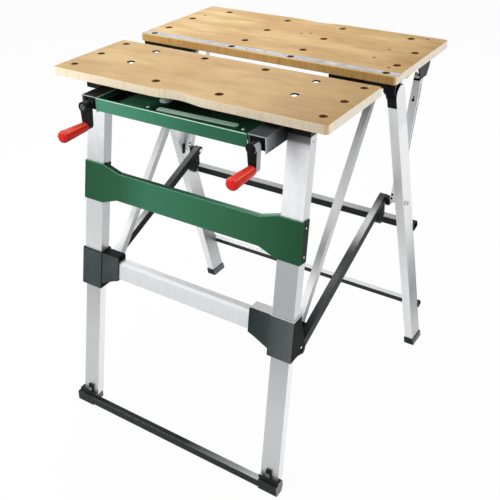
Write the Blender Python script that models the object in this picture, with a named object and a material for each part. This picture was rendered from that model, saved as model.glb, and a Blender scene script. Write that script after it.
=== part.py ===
"""Folding clamping workbench: two-piece bamboo top, twin-screw vice, tubular aluminium legs.

Every size below is in millimetres in the bench frame: X runs along the jaws, Y runs from the
front jaw's front edge towards the back, and Z is the height above the floor.
"""
from math import atan, cos, hypot, pi, radians, sin

import bmesh
import bpy
from mathutils import Matrix, Vector

MM = 0.001

# Top
TOP_HEIGHT = 834.0
BOARD_THICKNESS = 18.0
BOARD_LENGTH = 680.0
FRONT_JAW_DEPTH = 238.0
JAW_GAP = 65.0
REAR_JAW_DEPTH = 312.0
CORNER_RADIUS = 9.0
BOARD_EDGE_ROUND = 1.2
CLAMP_EDGE_ROUND = 7.0
SCOOP_DEPTH = 9.0
SCOOP_HALF_LENGTH = 66.0
SCOOP_SHIFT = 4.0

# Dog holes and recessed bolts
DOG_HOLE_RADIUS = 10.0
DOG_OUTER_EDGE = 30.0
DOG_BACK_EDGE = 80.0
DOG_INNER_X = 79.5
FRONT_DOG_Y = 40.0
FRONT_DOG_PITCH = 87.5
REAR_DOG_START = 77.0
REAR_DOG_PITCH = 101.5
BOLT_RECESS_RADIUS = 10.0
BOLT_RECESS_DEPTH = 7.0
BOLT_FRONT_Y = 112.0
BOLT_PITCH = 90.0

# Ruler strip let into the rear jaw
RULER_WIDTH = 20.0
RULER_THICKNESS = 1.5
RULER_CENTRE = 19.0

# Vice rails, an inverted channel each
RAIL_X = 209.0
RAIL_WIDTH = 40.0
RAIL_HEIGHT = 33.0
RAIL_WALL = 2.0
RAIL_FRONT = -28.0
RAIL_BACK = 332.0
PAD_HEIGHT = 18.0
SLOT_WIDTH = 12.0
SLOT_START = 52.0
SLOT_END = 292.0
CARRIAGE_WIDTH = 38.0
CARRIAGE_LENGTH = 130.0
CARRIAGE_FRONT = 92.0
NUT_WIDTH = 26.0
NUT_HEIGHT = 26.0

# Screw, crank and handle
SCREW_RADIUS = 6.0
SCREW_DROP = 18.5
SCREW_CLEARANCE = 0.35
SCREW_BACK = 322.0
BEARING_THICKNESS = 12.0
BEARING_SETBACK = 6.0
CRANK_THICKNESS = 14.4
CRANK_WIDTH = 18.0
CRANK_THROW = 44.5
CRANK_PROUD = 3.6
HUB_RADIUS = 11.5
HUB_PROUD = 4.0
HANDLE_LENGTH = 73.0
HANDLE_BASE_RADIUS = 10.5
HANDLE_TIP_RADIUS = 13.5
HANDLE_BOLT_RADIUS = 3.5
HANDLE_GAP = 0.5
HANDLE_BORE_END = 8.0

# Tray between the rails
TRAY_FRONT = -30.5
TRAY_SHEET = 1.5
TRAY_LIP_HEIGHT = 28.0
TRAY_DROP = 0.5
TRAY_LIP = 5.0
TRAY_WELL = 12.0
TRAY_BACK = 215.0

# Front legs
LEG_FOOT_Y = -79.0
LEG_SLOPE = 0.16
LEG_OUTER_X = 282.0
LEG_WIDTH = 50.0
LEG_DEPTH = 26.0
LEG_WALL = 3.0
LEG_TOP_DROP = 33.0
LEG_BOTTOM = 322.0
LOWER_LEG_CLEARANCE = 0.4
LOWER_LEG_WALL = 2.0
LOWER_LEG_TOP = 420.0
CAP_THICKNESS = 22.7
CAP_FRONT = 44.0
CAP_BACK = 76.0
CAP_CHAMFER = 6.0

# Green front panel
PANEL_TOP = 615.0
PANEL_BOTTOM = 524.5
PANEL_MID_TOP = 609.0
PANEL_MID_BOTTOM = 539.5
PANEL_STEP_OUTER = 233.0
PANEL_STEP_INNER = 188.0
PANEL_SHEET = 2.5
PANEL_WRAP = 22.0
PANEL_FLANGE = 4.0

# Corner brackets and the cross beam
BRACKET_TOP = 402.0
BRACKET_BOTTOM = 312.0
BRACKET_WALL = 3.5
GUSSET_INNER_X = 178.0
GUSSET_BOTTOM = 346.0
BEAM_TOP = 390.0
BEAM_HEIGHT = 40.0
BEAM_DEPTH = 20.0
BEAM_BEVEL = 5.0
LUG_THICKNESS = 3.0
ARM_SETBACK = 2.0
BEAM_SETBACK = 1.5

# Inner legs, running from the brackets up to the rails
INNER_LEG_X = 250.0
INNER_LEG_WIDTH = 23.0
INNER_LEG_DEPTH = 23.0
INNER_LEG_LOW = (62.0, 330.0)
INNER_LEG_TOP_Y = 408.0
INNER_LEG_TOP_DROP = 23.0
INNER_BOSS_RADIUS = 8.0

# Foot bar and front feet
BAR_FRONT = -88.0
BAR_DEPTH = 13.0
BAR_TOP = 24.0
BAR_BOTTOM = 4.0
BAR_EDGE = 1.8
BAR_TUCK = 14.0
FOOT_WALL = 1.0
FOOT_OUTER_X = 285.0
FOOT_LENGTH = 46.0
FOOT_OVERHANG = 4.0
FOOT_UNDERCUT = 6.0
FOOT_WING_RISE = 6.0
HEEL_BACK = -51.0
HEEL_BOTTOM = 3.0
HEEL_OUTER_X = 268.0
FOOT_BACK = -62.0
FOOT_LEVEL = 24.0
FOOT_UPSTAND = 4.5
UPSTAND_THICKNESS = 3.0
LATCH_WIDTH = 12.5
LATCH_HEIGHT = 20.0
LATCH_THICKNESS = 5.0
LATCH_SHIFT = 1.0

# Rear legs
APEX_Y = 346.0
APEX_DROP = 35.0
REAR_LEG_SLOPE = -0.2845
REAR_LEG_OUTER_X = 336.0
REAR_LEG_WIDTH = 21.0
REAR_LEG_DEPTH = 48.0
REAR_LEG_WALL = 2.0
REAR_LEG_BOTTOM = 12.0
REAR_FOOT_TOP = 16.0
REAR_FOOT_WALL = 2.0
APEX_PIN_RADIUS = 6.0
APEX_CHEEK_FRONT = 28.0
APEX_CHEEK_BACK = 16.0
APEX_CHEEK_DROP = 10.0
SHROUD_THICKNESS = 1.5
SHROUD_LENGTH = 20.0
SHROUD_BACK_ANGLE = 60.0
UPPER_BAR_Z = 386.0
UPPER_BAR_SIZE = 22.0
LOWER_BAR_Z = 112.0
LOWER_BAR_SIZE = 16.0
BAR_CHAMFER = 0.3
BAR_OVERHANG = 2.0
SUPPORT_ARM = 34.0
SUPPORT_THICKNESS = 9.4
SUPPORT_EDGE = 5.0
SUPPORT_BACK = 590.0
SUPPORT_ARM_X = 320.0
WING_THICKNESS = 5.0
WING_STEP = 8.0
WING_FRONT = 318.0
WING_NOTCH_Y = (350.0, 370.0)
WING_BACK = 386.0
WING_DOG_CLEARANCE = 1.0
GUARD_INNER_X = 312.0
GUARD_Y = (312.0, 315.0)
GUARD_DROP = 17.0
HANGER_THICKNESS = 3.0
HANGER_HALF = 13.0
INNER_BOSS_PROUD = 1.0

# Links and struts
LINK_PIVOT = (20.0, 313.0)
LINK_WIDTH = 16.0
LINK_DEPTH = 20.0
LINK_OUTER_X = 281.6
STRUT_PIVOT = (431.0, 482.0)
STRUT_TOP_Y = 535.0
STRUT_TOP_DROP = 54.0
LUG_SHOULDERS = (0.37, 0.63)
STRUT_OUTER_X = 311.7
STRUT_WIDTH = 17.0
STRUT_DEPTH = 18.0
STRUT_SHEET = 2.5
STRUT_LUG_FRONT = 38.0
STRUT_LUG_BACK = 44.0
STRUT_LUG_HALF = 18.0
STRUT_LUG_DROP = 1.0
PIVOT_RADIUS = 5.0
CLIP_WIDTH = 18.0
CLIP_FRONT = 396.0
CLIP_BACK = 424.0
CLIP_BOTTOM = 426.0

TUBE_WALL = 1.5

# Working clearances
SEAT = 0.3
HOLE_CLEARANCE = 0.3
ROUND_STEPS = 20

# Values that follow from the sizes above
BOARD_BOTTOM = TOP_HEIGHT - BOARD_THICKNESS
REAR_JAW_FRONT = FRONT_JAW_DEPTH + JAW_GAP
REAR_JAW_BACK = REAR_JAW_FRONT + REAR_JAW_DEPTH
HALF_BOARD = BOARD_LENGTH / 2
DOG_OUTER_X = HALF_BOARD - DOG_OUTER_EDGE
DOG_BACK_X = HALF_BOARD - DOG_BACK_EDGE
RAIL_TOP = BOARD_BOTTOM - PAD_HEIGHT
RAIL_BOTTOM = RAIL_TOP - RAIL_HEIGHT
SCREW_Z = RAIL_TOP - SCREW_DROP
SUPPORT_BOTTOM = BOARD_BOTTOM - SEAT - SUPPORT_THICKNESS
CRANK_BACK = RAIL_FRONT - CRANK_PROUD
CRANK_FRONT = CRANK_BACK - CRANK_THICKNESS
HANDLE_Z = SCREW_Z - CRANK_THROW
HANDLE_BASE = CRANK_FRONT - HANDLE_GAP
HANDLE_TIP = HANDLE_BASE - HANDLE_LENGTH
LEG_TOP = BOARD_BOTTOM - LEG_TOP_DROP
APEX = (APEX_Y, BOARD_BOTTOM - APEX_DROP)
STRUT_TOP = (STRUT_TOP_Y, BOARD_BOTTOM - STRUT_TOP_DROP)
INNER_LEG_HIGH = (INNER_LEG_TOP_Y, RAIL_TOP - INNER_LEG_TOP_DROP)
LEG_INNER_X = LEG_OUTER_X - LEG_WIDTH
REAR_LEG_INNER_X = REAR_LEG_OUTER_X - REAR_LEG_WIDTH
REAR_LEG_LEAN = atan(-REAR_LEG_SLOPE)
REAR_LEG_HALF = REAR_LEG_DEPTH * cos(REAR_LEG_LEAN) / 2
MIDDLE_LUG_X = LINK_OUTER_X - LINK_WIDTH - SEAT - LUG_THICKNESS
DATUM_Y = -(REAR_JAW_BACK + HANDLE_TIP) / 2
FOOT_STEP = BAR_TOP + SEAT + FOOT_WALL
FOOT_STEP_BACK = BAR_FRONT + BAR_DEPTH + SEAT + FOOT_WALL
SIDES = (("left", -1), ("right", 1))


def leg_front(z):
    """Y of the front legs' front face at a height."""
    return LEG_FOOT_Y + LEG_SLOPE * z


def rear_leg_centre(z):
    """Y of the rear legs' centre line at a height."""
    return APEX[0] + REAR_LEG_SLOPE * (z - APEX[1])


def clear_scene():
    for item in list(bpy.data.objects):
        bpy.data.objects.remove(item, do_unlink=True)


def material(name, colour, roughness, metallic=0.0):
    found = bpy.data.materials.get(name)
    if found:
        return found
    made = bpy.data.materials.new(name)
    made.use_nodes = True
    shader = made.node_tree.nodes["Principled BSDF"]
    shader.inputs["Base Color"].default_value = (*colour, 1.0)
    shader.inputs["Roughness"].default_value = roughness
    shader.inputs["Metallic"].default_value = metallic
    made.diffuse_color = (*colour, 1.0)
    return made


def bamboo(name):
    return material(name, (0.66, 0.47, 0.24), 0.45)


def aluminium(name):
    return material(name, (0.72, 0.73, 0.75), 0.35, 1.0)


def black_steel(name):
    return material(name, (0.02, 0.022, 0.025), 0.4)


def dark_plastic(name):
    return material(name, (0.05, 0.055, 0.06), 0.5)


def green_paint(name):
    return material(name, (0.03, 0.16, 0.08), 0.4)


def red_plastic(name):
    return material(name, (0.72, 0.02, 0.01), 0.35)


def bright_steel(name):
    return material(name, (0.6, 0.6, 0.62), 0.3, 1.0)


def millimetres(point):
    return Vector(point) * MM


def add_object(name, mesh_data, finish, pivot=(0.0, 0.0, 0.0), smooth=False):
    """Put a bmesh built in bench millimetres into the scene, with its origin at the pivot."""
    shift = Matrix.Translation(-millimetres(pivot))
    bmesh.ops.transform(mesh_data, matrix=shift, verts=mesh_data.verts)
    bmesh.ops.recalc_face_normals(mesh_data, faces=mesh_data.faces)
    mesh = bpy.data.meshes.new(name)
    mesh_data.to_mesh(mesh)
    mesh_data.free()
    made = bpy.data.objects.new(name, mesh)
    made.location = millimetres(pivot)
    made.parent = bpy.data.objects["bench_frame"]
    bpy.context.collection.objects.link(made)
    if finish:
        mesh.materials.append(finish(name))
    if smooth:
        mesh.shade_smooth()
        mesh.set_sharp_from_angle(angle=radians(40))
    return made


def prism(outline, low, high, axis):
    """Extrude an outline of (a, b) points along an axis between two levels."""
    place = {
        "x": lambda a, b, c: (c, a, b),
        "y": lambda a, b, c: (a, c, b),
        "z": lambda a, b, c: (a, b, c),
    }[axis]
    body = bmesh.new()
    bottom = [body.verts.new(millimetres(place(a, b, low))) for a, b in outline]
    top = [body.verts.new(millimetres(place(a, b, high))) for a, b in outline]
    body.faces.new(bottom)
    body.faces.new(top)
    count = len(outline)
    for i in range(count):
        j = (i + 1) % count
        body.faces.new((bottom[i], bottom[j], top[j], top[i]))
    return body


def box(low, high):
    (x0, y0, z0), (x1, y1, z1) = low, high
    return prism([(x0, y0), (x1, y0), (x1, y1), (x0, y1)], z0, z1, "z")


def disc(centre, radius, steps=ROUND_STEPS, start=0.0):
    """Points of a circle in a plane."""
    return [
        (centre[0] + radius * cos(start + 2 * pi * i / steps),
         centre[1] + radius * sin(start + 2 * pi * i / steps))
        for i in range(steps)
    ]


def arc(centre, radius, start, end, steps):
    return [
        (centre[0] + radius * cos(start + (end - start) * i / steps),
         centre[1] + radius * sin(start + (end - start) * i / steps))
        for i in range(steps + 1)
    ]


def ring_tube(bottom_outer, bottom_inner, top_outer, top_inner):
    """A tube with straight walls between a bottom ring and a top ring of matching points."""
    body = bmesh.new()
    rings = [
        [body.verts.new(millimetres(point)) for point in ring]
        for ring in (bottom_outer, bottom_inner, top_inner, top_outer)
    ]
    count = len(bottom_outer)
    for first in range(4):
        second = (first + 1) % 4
        for i in range(count):
            j = (i + 1) % count
            body.faces.new((rings[first][i], rings[first][j], rings[second][j], rings[second][i]))
    return body


def slanted_tube(x0, x1, front, depth, z0, z1, wall):
    """A rectangular tube whose front face follows front(z), cut level at both ends."""
    def ring(z, inset):
        low = front(z) + inset
        high = front(z) + depth - inset
        return [(x0 + inset, low, z), (x1 - inset, low, z), (x1 - inset, high, z), (x0 + inset, high, z)]
    return ring_tube(ring(z0, 0), ring(z0, wall), ring(z1, 0), ring(z1, wall))


def bar_outline(start, end, depth, steps=6):
    """A round-ended strip in the YZ plane between two pivots."""
    along = atan2_yz(start, end)
    radius = depth / 2
    points = arc(end, radius, along - pi / 2, along + pi / 2, steps)
    points += arc(start, radius, along + pi / 2, along + 3 * pi / 2, steps)
    return points


def atan2_yz(start, end):
    return Vector((end[0] - start[0], end[1] - start[1])).angle_signed(Vector((1, 0)))


def cutter(name, body):
    """A hidden operand for a Boolean."""
    made = add_object(name, body, None)
    made.hide_render = True
    made.display_type = "WIRE"
    return made


def boolean(target, tool, operation):
    change = target.modifiers.new(tool.name, "BOOLEAN")
    change.operation = operation
    change.solver = "EXACT"
    change.object = tool


def cut(target, name, body):
    boolean(target, cutter(name, body), "DIFFERENCE")


def join(target, name, body):
    boolean(target, cutter(name, body), "UNION")


def drill_x(target, name, centre, radius, x0, x1, steps=ROUND_STEPS):
    cut(target, name, prism(disc(centre, radius, steps), x0, x1, "x"))


def mirrored(side, x0, x1):
    """An X range given for the right side, in ascending order on the chosen side."""
    return (x0, x1) if side > 0 else (-x1, -x0)


def board_outline(front, back, scoop_front):
    """A board with rounded corners and one shallow finger scoop in its outer long edge."""
    half = HALF_BOARD
    r = CORNER_RADIUS
    steps = 4
    outline = []
    outline += arc((-half + r, front + r), r, pi, 1.5 * pi, steps)
    if scoop_front:
        outline += scoop(front, 1)
    outline += arc((half - r, front + r), r, 1.5 * pi, 2 * pi, steps)
    outline += arc((half - r, back - r), r, 0, 0.5 * pi, steps)
    if not scoop_front:
        outline += list(reversed(scoop(back, -1)))
    outline += arc((-half + r, back - r), r, 0.5 * pi, pi, steps)
    return outline


def scoop(edge, inward):
    """A raised-cosine hollow in a straight edge."""
    steps = 14
    points = []
    for i in range(steps + 1):
        t = i / steps
        x = SCOOP_SHIFT + SCOOP_HALF_LENGTH * (2 * t - 1)
        points.append((x, edge + inward * SCOOP_DEPTH * (1 - cos(2 * pi * t)) / 2))
    return points


def bevel_edges(body, chooser, width, segments):
    edges = [edge for edge in body.edges if chooser(edge)]
    bmesh.ops.bevel(body, geom=edges, offset=width * MM, segments=segments, profile=0.5,
                    affect="EDGES", clamp_overlap=True)


def level_edge(edge, z):
    return all(abs(vert.co.z - z * MM) < 1e-6 for vert in edge.verts)


def front_dogs():
    outer = [(side * DOG_OUTER_X, FRONT_DOG_Y + i * FRONT_DOG_PITCH) for side in (-1, 1) for i in range(3)]
    inner = [(side * DOG_INNER_X, FRONT_DOG_Y + i * FRONT_DOG_PITCH) for side in (-1, 1) for i in (0, 2)]
    return outer + inner


def rear_dogs():
    start = REAR_JAW_FRONT + REAR_DOG_START
    outer = [(side * DOG_OUTER_X, start + i * REAR_DOG_PITCH) for side in (-1, 1) for i in range(2)]
    inner = [(side * DOG_INNER_X, start + i * REAR_DOG_PITCH) for side in (-1, 1) for i in range(3)]
    back = [(side * DOG_BACK_X, start + 2 * REAR_DOG_PITCH) for side in (-1, 1)]
    return outer + inner + back


def ruler_dogs():
    y = REAR_JAW_FRONT + RULER_CENTRE
    return [(side * x, y) for side in (-1, 1) for x in (DOG_INNER_X, DOG_OUTER_X)]


def jaw_bolts():
    return [(side * RAIL_X, BOLT_FRONT_Y + i * BOLT_PITCH) for side in (-1, 1) for i in range(2)]


def make_front_jaw():
    body = prism(board_outline(0, FRONT_JAW_DEPTH, True), BOARD_BOTTOM, TOP_HEIGHT, "z")
    bevel_edges(body, lambda e: level_edge(e, TOP_HEIGHT), BOARD_EDGE_ROUND, 1)
    jaw = add_object("front_jaw", body, bamboo)
    for i, centre in enumerate(front_dogs()):
        cut(jaw, f"front_dog_{i}", prism(disc(centre, DOG_HOLE_RADIUS), BOARD_BOTTOM - 1, TOP_HEIGHT + 1, "z"))
    for i, centre in enumerate(jaw_bolts()):
        hole = prism(disc(centre, BOLT_RECESS_RADIUS), TOP_HEIGHT - BOLT_RECESS_DEPTH, TOP_HEIGHT + 1, "z")
        cut(jaw, f"bolt_recess_{i}", hole)


def make_rear_jaw():
    body = prism(board_outline(REAR_JAW_FRONT, REAR_JAW_BACK, False), BOARD_BOTTOM, TOP_HEIGHT, "z")
    front = REAR_JAW_FRONT * MM

    def clamp_edge(edge):
        along = all(abs(vert.co.y - front) < 1e-6 for vert in edge.verts)
        return along and abs(edge.verts[0].co.x - edge.verts[1].co.x) > 0.1

    bevel_edges(body, clamp_edge, CLAMP_EDGE_ROUND, 4)
    jaw = add_object("rear_jaw", body, bamboo)
    groove_front = REAR_JAW_FRONT + RULER_CENTRE - RULER_WIDTH / 2 - SEAT
    groove_back = groove_front + RULER_WIDTH + 2 * SEAT
    groove = box((-HALF_BOARD - 1, groove_front, TOP_HEIGHT - RULER_THICKNESS - SEAT),
                 (HALF_BOARD + 1, groove_back, TOP_HEIGHT + 1))
    cut(jaw, "ruler_groove", groove)
    for i, centre in enumerate(rear_dogs() + ruler_dogs()):
        cut(jaw, f"rear_dog_{i}", prism(disc(centre, DOG_HOLE_RADIUS), BOARD_BOTTOM - 1, TOP_HEIGHT + 1, "z"))


def make_ruler():
    centre = REAR_JAW_FRONT + RULER_CENTRE
    strip = box((-HALF_BOARD + SEAT, centre - RULER_WIDTH / 2, TOP_HEIGHT - RULER_THICKNESS),
                (HALF_BOARD - SEAT, centre + RULER_WIDTH / 2, TOP_HEIGHT))
    ruler = add_object("ruler_strip", strip, bright_steel)
    for i, hole in enumerate(ruler_dogs()):
        radius = DOG_HOLE_RADIUS - 1.5
        cut(ruler, f"ruler_hole_{i}", prism(disc(hole, radius), TOP_HEIGHT - 5, TOP_HEIGHT + 1, "z"))


def make_rail(name, side):
    half = RAIL_WIDTH / 2
    wall = RAIL_WALL
    centre = side * RAIL_X
    outline = [
        (centre - half, RAIL_BOTTOM), (centre - half, RAIL_TOP), (centre + half, RAIL_TOP),
        (centre + half, RAIL_BOTTOM), (centre + half - wall, RAIL_BOTTOM),
        (centre + half - wall, RAIL_TOP - wall), (centre - half + wall, RAIL_TOP - wall),
        (centre - half + wall, RAIL_BOTTOM),
    ]
    rail = add_object(f"rail_{name}", prism(outline, RAIL_FRONT, RAIL_BACK, "y"), black_steel)
    slot = box((centre - SLOT_WIDTH / 2, SLOT_START, RAIL_TOP - 2 * wall),
               (centre + SLOT_WIDTH / 2, SLOT_END, RAIL_TOP + 1))
    cut(rail, f"rail_slot_{name}", slot)


def make_carriage(name, side):
    """Slide plate, neck and screw nut in one piece."""
    centre = side * RAIL_X
    half_plate = CARRIAGE_WIDTH / 2
    half_neck = SLOT_WIDTH / 2 - 1
    half_nut = NUT_WIDTH / 2
    nut_top = RAIL_TOP - RAIL_WALL - SEAT
    outline = [
        (centre - half_plate, RAIL_TOP + SEAT), (centre - half_plate, BOARD_BOTTOM - SEAT),
        (centre + half_plate, BOARD_BOTTOM - SEAT), (centre + half_plate, RAIL_TOP + SEAT),
        (centre + half_neck, RAIL_TOP + SEAT), (centre + half_neck, nut_top),
        (centre + half_nut, nut_top), (centre + half_nut, nut_top - NUT_HEIGHT),
        (centre - half_nut, nut_top - NUT_HEIGHT), (centre - half_nut, nut_top),
        (centre - half_neck, nut_top), (centre - half_neck, RAIL_TOP + SEAT),
    ]
    back = CARRIAGE_FRONT + CARRIAGE_LENGTH
    carriage = add_object(f"jaw_carriage_{name}", prism(outline, CARRIAGE_FRONT, back, "y"), bright_steel)
    bore = disc((centre, SCREW_Z), SCREW_RADIUS + SCREW_CLEARANCE)
    cut(carriage, f"nut_bore_{name}", prism(bore, CARRIAGE_FRONT - 1, back + 1, "y"))


def make_bearing(name, side):
    centre = side * RAIL_X
    half = RAIL_WIDTH / 2 - RAIL_WALL - SEAT
    front = RAIL_FRONT + BEARING_SETBACK
    block = box((centre - half, front, RAIL_BOTTOM + RAIL_WALL),
                (centre + half, front + BEARING_THICKNESS, RAIL_TOP - RAIL_WALL - SEAT))
    bearing = add_object(f"screw_bearing_{name}", block, dark_plastic)
    bore = disc((centre, SCREW_Z), SCREW_RADIUS + SCREW_CLEARANCE)
    cut(bearing, f"bearing_bore_{name}", prism(bore, front - 1, front + BEARING_THICKNESS + 1, "y"))


def make_crank(name, side):
    centre = (side * RAIL_X, SCREW_Z)
    pivot = (side * RAIL_X, CRANK_BACK, SCREW_Z)
    screw = prism(disc(centre, SCREW_RADIUS), CRANK_BACK + SEAT, SCREW_BACK, "y")
    add_object(f"lead_screw_{name}", screw, bright_steel, pivot, smooth=True)
    half = CRANK_WIDTH / 2
    low = (centre[0], HANDLE_Z)
    outline = arc(centre, HUB_RADIUS, 0, pi, 10) + arc(low, half, pi, 2 * pi, 8)
    arm = add_object(f"crank_arm_{name}", prism(outline, CRANK_FRONT, CRANK_BACK, "y"), black_steel, pivot)
    hub = prism(disc(centre, HUB_RADIUS), CRANK_FRONT - HUB_PROUD, CRANK_FRONT + 1, "y")
    join(arm, f"crank_hub_{name}", hub)
    bolt_hole = prism(disc(low, HANDLE_BOLT_RADIUS + HOLE_CLEARANCE, 12), CRANK_FRONT - 1, CRANK_BACK + 1, "y")
    cut(arm, f"crank_hole_{name}", bolt_hole)


def make_handle(name, side):
    """Tapered grip turned about the bolt that it spins on."""
    x, z = side * RAIL_X, HANDLE_Z
    bore = HANDLE_BOLT_RADIUS + HOLE_CLEARANCE
    base, tip = HANDLE_BASE, HANDLE_TIP
    taper = (HANDLE_TIP_RADIUS - HANDLE_BASE_RADIUS) / (HANDLE_LENGTH - 10)
    profile = [
        (tip + HANDLE_BORE_END, bore), (base, bore), (base, HANDLE_BASE_RADIUS - 1), (base - 2, HANDLE_BASE_RADIUS),
        (base - 30, HANDLE_BASE_RADIUS + 30 * taper), (tip + 7, HANDLE_TIP_RADIUS),
        (tip + 3, HANDLE_TIP_RADIUS - 1.5), (tip + 0.8, HANDLE_TIP_RADIUS - 4.5), (tip, HANDLE_TIP_RADIUS - 8),
    ]
    body = bmesh.new()
    rings = []
    for y, radius in profile:
        rings.append([body.verts.new(millimetres((x + a, y, z + b))) for a, b in disc((0, 0), radius)])
    for first, second in zip(rings, rings[1:]):
        for i in range(ROUND_STEPS):
            j = (i + 1) % ROUND_STEPS
            body.faces.new((first[i], first[j], second[j], second[i]))
    body.faces.new(rings[0])
    body.faces.new(rings[-1])
    add_object(f"handle_grip_{name}", body, red_plastic, (x, base, z), smooth=True)
    bolt = prism(disc((x, z), HANDLE_BOLT_RADIUS, 12), tip + HANDLE_BORE_END + 1, CRANK_BACK - 1, "y")
    add_object(f"handle_bolt_{name}", bolt, bright_steel, (x, CRANK_BACK, z), smooth=True)


def make_tray():
    """Sheet pan between the rails, with a deep front lip and a raised rib on its floor."""
    sheet = TRAY_SHEET
    top = RAIL_TOP - TRAY_DROP
    floor = top - TRAY_WELL
    back = TRAY_BACK
    outline = [
        (TRAY_FRONT, top - TRAY_LIP_HEIGHT), (TRAY_FRONT, top), (TRAY_FRONT + TRAY_LIP, top),
        (TRAY_FRONT + TRAY_LIP + TRAY_WELL / 2, floor), (back - sheet, floor), (back - sheet, top),
        (back, top), (back, floor - sheet), (TRAY_FRONT + TRAY_LIP + TRAY_WELL / 2 - sheet, floor - sheet),
        (TRAY_FRONT + TRAY_LIP - sheet, top - sheet), (TRAY_FRONT + sheet, top - sheet),
        (TRAY_FRONT + sheet, top - TRAY_LIP_HEIGHT),
    ]
    half = RAIL_X - RAIL_WIDTH / 2 - SEAT
    tray = add_object("tool_tray", prism(outline, -half, half, "x"), green_paint)
    for name, side in SIDES:
        x0, x1 = mirrored(side, half - sheet, half)
        wall = box((x0, TRAY_FRONT + TRAY_LIP - sheet, floor - sheet), (x1, back, top))
        join(tray, f"tray_wall_{name}", wall)


def make_rear_support(name, side):
    """Bracket that carries the rear jaw: a cross arm with a notched wing, a strip to the back, a web on the rail,
    a guard in front of the rear leg's head and a hanger for the inner leg's top."""
    half = RAIL_WIDTH / 2
    front = REAR_JAW_FRONT + 2
    arm_back = front + SUPPORT_ARM
    inner = RAIL_X - half - SUPPORT_EDGE
    top = BOARD_BOTTOM - SEAT
    leg_y, leg_z = INNER_LEG_HIGH
    hanger_x = INNER_LEG_X + INNER_LEG_WIDTH / 2 + INNER_BOSS_PROUD + SEAT
    ear = hanger_x + HANGER_THICKNESS
    outline = [
        (inner, front), (SUPPORT_ARM_X, front), (SUPPORT_ARM_X, arm_back), (RAIL_X + half, arm_back),
        (RAIL_X + half, leg_y - HANGER_HALF), (ear, leg_y - HANGER_HALF), (ear, leg_y + HANGER_HALF),
        (RAIL_X + half, leg_y + HANGER_HALF), (RAIL_X + half, SUPPORT_BACK), (RAIL_X - half, SUPPORT_BACK),
        (RAIL_X - half, arm_back), (inner, arm_back),
    ]
    outline = [(side * x, y) for x, y in outline]
    support = add_object(f"rear_support_{name}", prism(outline, SUPPORT_BOTTOM, top, "z"), black_steel)
    outer = REAR_LEG_OUTER_X
    notch_front, notch_back = WING_NOTCH_Y
    tail_inner = DOG_OUTER_X + DOG_HOLE_RADIUS + WING_DOG_CLEARANCE
    tail_front = REAR_JAW_FRONT + REAR_DOG_START - DOG_HOLE_RADIUS - WING_DOG_CLEARANCE
    wing = [
        (SUPPORT_ARM_X - WING_STEP, WING_FRONT), (outer, WING_FRONT), (outer, notch_front),
        (outer - WING_STEP, notch_front), (outer - WING_STEP, notch_back), (outer, notch_back), (outer, WING_BACK),
        (tail_inner, WING_BACK), (tail_inner, tail_front), (SUPPORT_ARM_X - WING_STEP, tail_front),
    ]
    wing = [(side * x, y) for x, y in wing]
    join(support, f"support_wing_{name}", prism(wing, top - WING_THICKNESS, top, "z"))
    wx0, wx1 = mirrored(side, RAIL_X - half + SUPPORT_EDGE, RAIL_X + half - SUPPORT_EDGE)
    web = box((wx0, front, RAIL_TOP + SEAT), (wx1, RAIL_BACK, SUPPORT_BOTTOM + 1))
    join(support, f"support_web_{name}", web)
    gx0, gx1 = mirrored(side, GUARD_INNER_X, outer)
    guard = box((gx0, GUARD_Y[0], SUPPORT_BOTTOM - GUARD_DROP), (gx1, GUARD_Y[1], SUPPORT_BOTTOM + 1))
    join(support, f"support_guard_{name}", guard)
    neck_x0, neck_x1 = mirrored(side, SUPPORT_ARM_X, outer)
    neck = box((neck_x0, GUARD_Y[0], SUPPORT_BOTTOM), (neck_x1, WING_FRONT + 2, top))
    join(support, f"support_neck_{name}", neck)
    hx0, hx1 = mirrored(side, hanger_x, ear)
    hanger = box((hx0, leg_y - HANGER_HALF, leg_z - HANGER_HALF), (hx1, leg_y + HANGER_HALF, SUPPORT_BOTTOM + 1))
    join(support, f"support_hanger_{name}", hanger)
    hole = disc((side * DOG_OUTER_X, REAR_JAW_FRONT + RULER_CENTRE), DOG_HOLE_RADIUS)
    cut(support, f"support_hole_{name}", prism(hole, RAIL_TOP - 1, BOARD_BOTTOM + 1, "z"))


def make_upper_leg(name, side):
    x0, x1 = mirrored(side, LEG_INNER_X, LEG_OUTER_X)
    tube = slanted_tube(x0, x1, leg_front, LEG_DEPTH, LEG_BOTTOM, LEG_TOP, LEG_WALL)
    add_object(f"upper_leg_{name}", tube, aluminium)


def make_leg_cap(name, side):
    """Head of the front leg: a block under the top, let into the side of the vice rail."""
    x0, x1 = mirrored(side, RAIL_X + RAIL_WIDTH / 2 + SEAT, LEG_OUTER_X + 1)
    low = LEG_TOP + SEAT
    outline = [
        (CAP_FRONT, low), (CAP_FRONT, low + CAP_THICKNESS), (CAP_BACK, low + CAP_THICKNESS),
        (CAP_BACK, low + CAP_CHAMFER), (CAP_BACK - CAP_CHAMFER, low),
    ]
    add_object(f"leg_head_{name}", prism(outline, x0, x1, "x"), dark_plastic)


def panel_outline():
    right = [
        (LEG_OUTER_X + PANEL_SHEET + SEAT, PANEL_TOP), (PANEL_STEP_OUTER, PANEL_TOP),
        (PANEL_STEP_INNER, PANEL_MID_TOP),
    ]
    left_top = [(-x, z) for x, z in reversed(right)]
    low_left = [
        (-LEG_OUTER_X - PANEL_SHEET - SEAT, PANEL_BOTTOM), (-PANEL_STEP_OUTER, PANEL_BOTTOM),
        (-PANEL_STEP_INNER, PANEL_MID_BOTTOM),
    ]
    low_right = [(-x, z) for x, z in reversed(low_left)]
    return right + left_top + low_left + low_right


def lean_back(body, offset):
    """Shear an upright shape so that it follows the front legs' slope."""
    for vert in body.verts:
        vert.co.y += (LEG_FOOT_Y + offset) * MM + LEG_SLOPE * vert.co.z
    return body


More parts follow.
